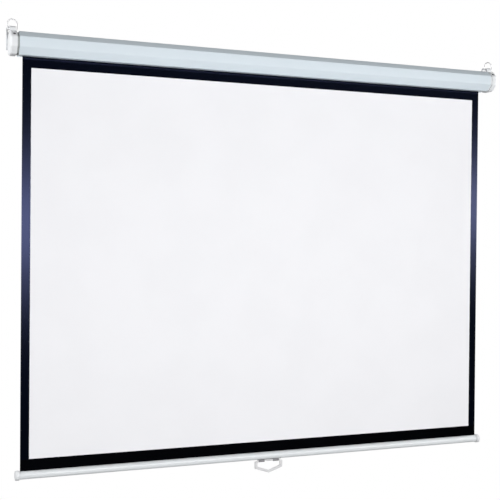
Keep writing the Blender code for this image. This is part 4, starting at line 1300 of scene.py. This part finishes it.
@dataclass
class ScreenSheet:
    """The hanging cloth: the face down to the foot of the picture, and the black foot and hem.

    The face bellies by less than a millimetre, and its side edges curl back.
    """

    finishes: Finishes
    travel: float
    half_width: float = 0.827
    thickness: float = 0.0005
    plane: float = -0.025
    foot: float = -1.267
    columns: int = 110
    rows: int = 84
    held_share: float = 0.03
    wave: float = 0.00035
    wave_count: float = 2.5
    curl: float = 0.0007
    curl_start: float = 0.93
    lap: float = 0.003
    lap_depth: float = 0.0004
    lap_gap: float = 0.00003
    least_keep: float = 0.001
    smooth: float = 60.0
    hem_steps: int = 40
    hem_slices: int = 12
    rod_gap: float = 0.0002
    bore_reach: float = 1.0
    rod_edge: Rounding = Rounding(width=0.0002)

    def build(self) -> None:
        """Make the face, the foot and the rod in its hem."""
        self._face()
        self._foot()
        rod = Maker.softened("hem_rod", "fine_hem_rod", self.finishes.nylon, self.rod_edge)
        Maker.hand_over(rod, Body.BAR, "nylon")

    def _face(self) -> None:
        """Make the face as a fine grid, white in front and black behind."""
        shape = bmesh.new()
        half = self.thickness / 2
        self._skin(shape, self._grid(shape, -half), self._grid(shape, half))
        self._lap(shape)
        face = Maker.object_of("screen_face", shape, self.finishes.cloth, self.smooth)
        face.data.materials.append(self.finishes.black_cloth)
        for facet in face.data.polygons:
            facet.material_index = int(facet.normal.y > -0.5)
        Maker.map_cloth(face)
        Maker.hand_over(face, Body.CASE, "white_sheet", "screen_sheet")
        max(self.least_keep, 1.0 + self.travel / self.foot)
        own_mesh(face)
        2 * self.half_width
        -self.foot

    def _grid(self, shape: bmesh.types.BMesh, offset: float) -> Grid:
        """Lay the points of one side of the face.

        Args:
            shape: The mesh that takes them.
            offset: How far this side stands off the cloth's middle.

        Returns:
            The rows of points, from the roller down.
        """
        grid = []
        for down in spread(0.0, 1.0, self.rows):
            grid.append([shape.verts.new((
                across * self.half_width, self.plane + offset + self._belly(across, down),
                self.foot * down)) for across in spread(-1.0, 1.0, self.columns)])
        return grid

    def _belly(self, across: float, down: float) -> float:
        """Work out how far the cloth stands off its plane.

        Args:
            across: Place across the cloth, from -1 to 1.
            down: Place down the cloth, from 0 to 1.

        Returns:
            The distance, towards the wall.
        """
        ends = math.sin(math.pi * max(0.0, down - self.held_share) / (1.0 - self.held_share))
        wave = self.wave * math.sin(math.tau * self.wave_count * across)
        curl = self.curl * max(0.0, abs(across) - self.curl_start) / (1.0 - self.curl_start)
        return (wave + curl) * ends

    def _skin(self, shape: bmesh.types.BMesh, front: Grid, back: Grid) -> None:
        """Face both sides of the cloth and close its edges.

        Args:
            shape: The mesh that takes the faces.
            front: The rows of points in front.
            back: The rows of points behind.
        """
        for row in range(self.rows):
            for column in range(self.columns):
                for grid in (front, back):
                    shape.faces.new((grid[row][column], grid[row][column + 1],
                                     grid[row + 1][column + 1], grid[row + 1][column]))
        for column in range(self.columns):
            for row in (0, self.rows):
                shape.faces.new((front[row][column], front[row][column + 1],
                                 back[row][column + 1], back[row][column]))
        for row in range(self.rows):
            for column in (0, self.columns):
                shape.faces.new((front[row][column], front[row + 1][column],
                                 back[row + 1][column], back[row][column]))

    def _lap(self, shape: bmesh.types.BMesh) -> None:
        """Lay the welded strip that laps the seam between the face and the foot from behind.

        Args:
            shape: The mesh that takes the strip.
        """
        near = self.plane + self.thickness / 2 + self.lap_gap
        far = near + self.lap_depth
        top, low = self.foot + self.lap, self.foot - self.lap
        ends = [[shape.verts.new((side.value * self.half_width, y, z))
                 for y, z in ((near, top), (far, top), (far, low), (near, low))]
                for side in Side]
        for step in range(4):
            shape.faces.new((ends[0][step - 1], ends[0][step], ends[1][step], ends[1][step - 1]))
        for end in ends:
            shape.faces.new(end)

    def _foot(self) -> None:
        """Make the black foot with its hem, bored for the rod."""
        low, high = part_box("bottom_border")
        radius, half = (high.y - low.y) / 2, self.thickness / 2
        middle = (low.y + high.y) / 2
        centre = (middle, low.z + radius)
        start = math.asin(half / radius)
        hem = [round_spot(centre, radius, QUARTER_TURN - angle)
               for angle in spread(start, math.tau - start, self.hem_steps)]
        foot = Maker.extrude(
            "cloth_foot", [(middle - half, high.z), (middle + half, high.z)] + hem,
            low.x, high.x, self.finishes.black_cloth, self.hem_slices)
        rod_low, rod_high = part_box("hem_rod")
        bore = cylinder((rod_high.z - rod_low.z) / 2 + self.rod_gap, self.bore_reach)
        Maker.cut(foot, Maker.lathe(
            "hem_bore", bore, self.finishes.black_cloth, (0.0, *centre), steps=self.hem_steps))
        Maker.map_cloth(foot)
        Maker.hand_over(foot, Body.BAR, "black_sheet", "bottom_border")
        high.z - low.z + math.pi * radius


@dataclass
class BottomBar:
    """Slotted bar with its end plugs."""

    finishes: Finishes
    radius: float = 0.0125
    wall: float = 0.0013
    half_slot: float = 0.0008
    round_steps: int = 88
    slices: int = 6
    hole: float = 0.0018
    drill_reach: float = 0.012
    drill_drop: float = 0.016
    plug_radius: float = 0.015
    plug_edge: float = 0.003
    plug_gap: float = 0.0003
    plug_rim: float = 0.0004
    dish_share: float = 0.6
    dish_depth: float = 0.001
    groove_radius: float = 0.0115
    groove_width: float = 0.0022
    spigot_length: float = 0.020
    spigot_rim: float = 0.0005
    notch: float = 0.030
    notch_gap: float = 0.0004

    def build(self) -> None:
        """Make the bar and its plugs."""
        centre, half_length = middle_of("bottom_bar"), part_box("bottom_bar")[1].x
        self._bar(centre, half_length)
        for side in Side:
            self._plug(side, centre, half_length + self.plug_gap)

    def _bar(self, centre: Vector, half_length: float) -> None:
        """Roll the bar's section round its slot, and drill it for the clip's rivets.

        Args:
            centre: The bar's middle.
            half_length: Half of its length.
        """
        gap = math.asin(self.half_slot / self.radius)
        angles = spread(QUARTER_TURN + gap, QUARTER_TURN + math.tau - gap, self.round_steps)
        outer = [round_spot(centre.yz, self.radius, angle) for angle in angles]
        inner = [round_spot(centre.yz, self.radius - self.wall, angle) for angle in angles]
        bar = Maker.extrude(
            "slotted_bar", outer + inner[::-1], -half_length, half_length,
            self.finishes.bar_paint, self.slices)
        holes = []
        for side in Side:
            rivet = middle_of(f"clip_rivet_{side.word}")
            holes.append(Maker.drill(
                f"rivet_hole_{side.word}", cylinder(self.hole, self.drill_reach),
                (rivet.x, rivet.y, centre.z - self.drill_drop), "Y", self.finishes.bar_paint))
        Maker.cut(bar, *holes)
        Maker.hand_over(bar, Body.BAR, "bar_paint", "bottom_bar")

    def _plug(self, side: Side, centre: Vector, start: float) -> None:
        """Turn an end plug: dished face, round edge, dark groove and spigot with its notch.

        Args:
            side: The end of the bar.
            centre: The bar's middle.
            start: How far from it the plug's groove starts.
        """
        node = f"bar_plug_{side.word}"
        end = max(abs(corner.x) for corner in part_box(node))
        flange, tip = start + self.groove_width, start - self.spigot_length
        spigot = self.radius - self.wall - self.plug_gap
        dish = [(self.plug_radius * share,
                 end - self.dish_depth * (1.0 - (share / self.dish_share) ** 2))
                for share in spread(0.0, self.dish_share, 4)]
        edge = [(self.plug_radius - self.plug_edge * (1.0 - math.sin(angle)),
                 end - self.plug_edge * (1.0 - math.cos(angle)))
                for angle in spread(0.0, QUARTER_TURN, 9)]
        plug = Maker.lathe(
            f"turned_plug_{side.word}", dish + edge + [
                (self.plug_radius, flange + self.plug_rim),
                (self.plug_radius - self.plug_rim, flange),
                (self.groove_radius, flange), (self.groove_radius, start), (spigot, start),
                (spigot, tip + self.spigot_rim), (spigot - self.spigot_rim, tip), (0.0, tip)],
            self.finishes.cap, (0.0, centre.y, centre.z), side)
        hem_low, hem_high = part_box("bottom_border")
        Maker.cut(plug, Maker.block(
            "hem_notch",
            (self.notch, hem_high.y - hem_low.y + 2 * self.notch_gap, self.notch),
            (side.value * (start - self.notch / 2), centre.y,
             hem_low.z - self.notch_gap + self.notch / 2), self.finishes.cap))
        Maker.hand_over(plug, Body.BAR, "cap_plastic", node)


@dataclass
class PullHandle:
    """Loop handle, the clip that it swings in and the clip's rivets."""

    finishes: Finishes
    fasteners: FastenerTree
    handle_edge: Rounding = Rounding(width=0.0019, segments=5, angle=40.0)
    rivet_head: float = 0.0026
    rivet_shank: float = 0.0015
    rivet_length: float = 0.0030
    head_rise: float = 0.0004
    head_rim: float = 0.0003
    tail_share: float = 0.8
    tail_rim: float = 0.0005
    tail_rise: float = 0.0006

    def build(self) -> None:
        """Make the handle, the clip and the rivets."""
        handle = Maker.softened(
            "pull_handle", "loop_handle", self.finishes.handle, self.handle_edge)
        Maker.hand_over(handle, Body.HANDLE, "handle_plastic")
        clip = Maker.softened("handle_clip", "moulded_clip", self.finishes.clip)
        Maker.hand_over(clip, Body.BAR, "dark_clip")
        self._rivets()

    def _rivets(self) -> None:
        """Set the clip's two rivets, heads down."""
        head, shank, length = self.rivet_head, self.rivet_shank, self.rivet_length
        dome = [(head * math.sin(angle), -self.head_rise * math.cos(angle))
                for angle in spread(0.0, QUARTER_TURN, 6)]
        rivet = Maker.lathe(
            "rivet", dome + [
                (head, self.head_rim), (shank, self.head_rim), (shank, length), (head, length),
                (head * self.tail_share, length + self.tail_rim), (0.0, length + self.tail_rise)],
            self.finishes.zinc, facing=Side.LEFT, steps=Maker.SMALL_STEPS)
        rivet.data.transform(Matrix.Rotation(-QUARTER_TURN, 4, "Y"))
        nodes = [f"clip_rivet_{side.word}" for side in Side]
        spots = []
        for node in nodes:
            middle, low = middle_of(node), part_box(node)[0].z
            spots.append(((middle.x, middle.y, low + self.head_rise), (0.0, 0.0, -1.0)))
        item = self.fasteners.place("clip_rivets", rivet, spots, self.finishes.zinc)
        Maker.hand_over(item, Body.BAR, "zinc_plate", *nodes)


@dataclass(frozen=True)
class SoftLamp:
    """Rectangular lamp that the camera doesn't see, turned by roll in its own plane."""

    name: str
    place: Point
    target: Point
    size: Flat
    power: float
    roll: float = 0.0

    def hang(self) -> None:
        """Add the lamp to the scene, aimed at its target."""
        data = bpy.data.lights.new(self.name, "AREA")
        data.shape = "RECTANGLE"
        data.size, data.size_y = self.size
        data.energy = self.power
        lamp = bpy.data.objects.new(self.name, data)
        lamp.location = self.place
        aim = (Vector(self.target) - Vector(self.place)).to_track_quat("-Z", "Y")
        lamp.rotation_euler = (aim @ Quaternion((0.0, 0.0, 1.0), self.roll)).to_euler()
        lamp.visible_camera = False
        bpy.context.scene.collection.objects.link(lamp)


@dataclass
class Studio:
    """White studio: floor, world, lamps and the camera of the photograph."""

    camera_place: Point = (-1.2535, -2.988, -0.585)
    camera_right: Point = (0.92914, -0.36961, 0.00888)
    camera_up: Point = (-0.00404, 0.01386, 0.99990)
    camera_ahead: Point = (0.36969, 0.92908, -0.01138)
    lens: float = 68.57
    sensor: float = 36.0
    clip: Flat = (0.05, 60.0)
    floor_height: float = -2.20
    floor_radius: float = 2.4
    floor_steps: int = 96
    floor_grey: float = 0.30
    floor_glow: float = 0.94
    floor_mirrored: float = 0.25
    mirror_rise: Flat = (0.35, 0.60)
    mirror_least: float = 0.04
    dim_light: float = 0.02
    strip_across: float = 0.09
    strip_height: float = -0.477
    strip_length: float = 6.38
    strip_roll: float = 0.051
    end_distance: float = 3.0

    def build(self) -> None:
        """Set up the camera, the floor, the world and the lamps."""
        self._camera()
        self._floor()
        self._world()
        self._lamps()
        bpy.context.scene.view_settings.view_transform = "Standard"

    def _camera(self) -> None:
        """Place the camera as the photograph's edges give it."""
        data = bpy.data.cameras.new("photo_camera")
        data.lens = self.lens
        data.sensor_width = self.sensor
        data.clip_start, data.clip_end = self.clip
        camera = bpy.data.objects.new("photo_camera", data)
        rows = Matrix((self.camera_right, self.camera_up, -Vector(self.camera_ahead))).transposed()
        camera.matrix_world = Matrix.Translation(self.camera_place) @ rows.to_4x4()
        bpy.context.scene.collection.objects.link(camera)
        bpy.context.scene.camera = camera

    def _floor(self) -> None:
        """Lay the pale floor, which shows the background's white and keeps the shadow."""
        shape = bmesh.new()
        bmesh.ops.create_circle(
            shape, cap_ends=True, segments=self.floor_steps, radius=self.floor_radius)
        bmesh.ops.translate(shape, verts=shape.verts, vec=(0.0, 0.0, self.floor_height))
        kit = ShaderKit("studio_floor")
        kit.finish(base_color=(self.floor_grey,) * 3, roughness=0.9, specular_ior_level=0.1)
        seen = (kit.ray("Camera").most(kit.ray("Glossy") * self.floor_mirrored)
                .most(kit.ray("Transmission")))
        glow = kit.add("ShaderNodeEmission", None, {"Color": (1.0, 1.0, 1.0), "Strength": 1.0})
        mix = kit.add("ShaderNodeMixShader", None, {
            0: seen * self.floor_glow, 1: kit.shader.outputs[0], 2: glow.outputs[0]})
        kit.plug(mix.outputs[0], kit.output.inputs["Surface"])
        Maker.object_of("floor", shape, kit.material)

    def _world(self) -> None:
        """Show white to the camera and to what mirrors the background, and light the rest dimly."""
        world = bpy.data.worlds.new("studio")
        world.use_nodes = True
        bpy.context.scene.world = world
        kit = NodeBuilder(world.node_tree)
        way = kit.add("ShaderNodeTexCoord").outputs["Generated"]
        behind = kit.axis("Y", way).step(*self.mirror_rise)
        mirrored = (kit.ray("Glossy").most(kit.ray("Transmission"))
                    * (behind * (1.0 - self.mirror_least) + self.mirror_least))
        level = kit.ray("Camera").most(mirrored).most(self.dim_light)
        sky = kit.add("ShaderNodeBackground", None, {"Color": (1.0, 1.0, 1.0), "Strength": level})
        kit.add("ShaderNodeOutputWorld", None, {"Surface": sky.outputs[0]})

    def _lamps(self) -> None:
        """Hang two long strips in front of the screen and a small light at each end."""
        target = (self.strip_across, 0.0, self.strip_height)
        for name, away, width, power in (
                ("long_strip", -3.10, 0.45, 84.5), ("soft_strip", -3.15, 1.00, 67.0)):
            SoftLamp(name, (self.strip_across, away, self.strip_height), target,
                     (self.strip_length, width), power, self.strip_roll).hang()
        for side in Side:
            SoftLamp(f"{side.word}_end_light", (self.end_distance * side.value, 0.30, 0.10),
                     ORIGIN, (0.6, 0.5), 45.0).hang()


def clear_scene() -> None:
    """Remove whatever the file opened with."""
    for item in list(bpy.data.objects):
        bpy.data.objects.remove(item, do_unlink=True)


def main() -> None:
    """Build the screen and its studio."""
    logging.basicConfig(level=logging.INFO, format="%(name)s: %(message)s")
    clear_scene()
    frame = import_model()
    travel = next(
        joint["range_m"][1] for joint in frame["joints"] if joint["name"] == "screen_drop")
    finishes = Finishes()
    wires = PathTree()
    fasteners = FastenerTree()
    ScreenCase(finishes, fasteners).build()
    HangingRings(finishes, wires).build()
    RollerDrive(finishes, wires).build()
    ScreenSheet(finishes, travel).build()
    BottomBar(finishes).build()
    PullHandle(finishes, fasteners).build()
    Studio().build()


if __name__ == "__main__":
    main()
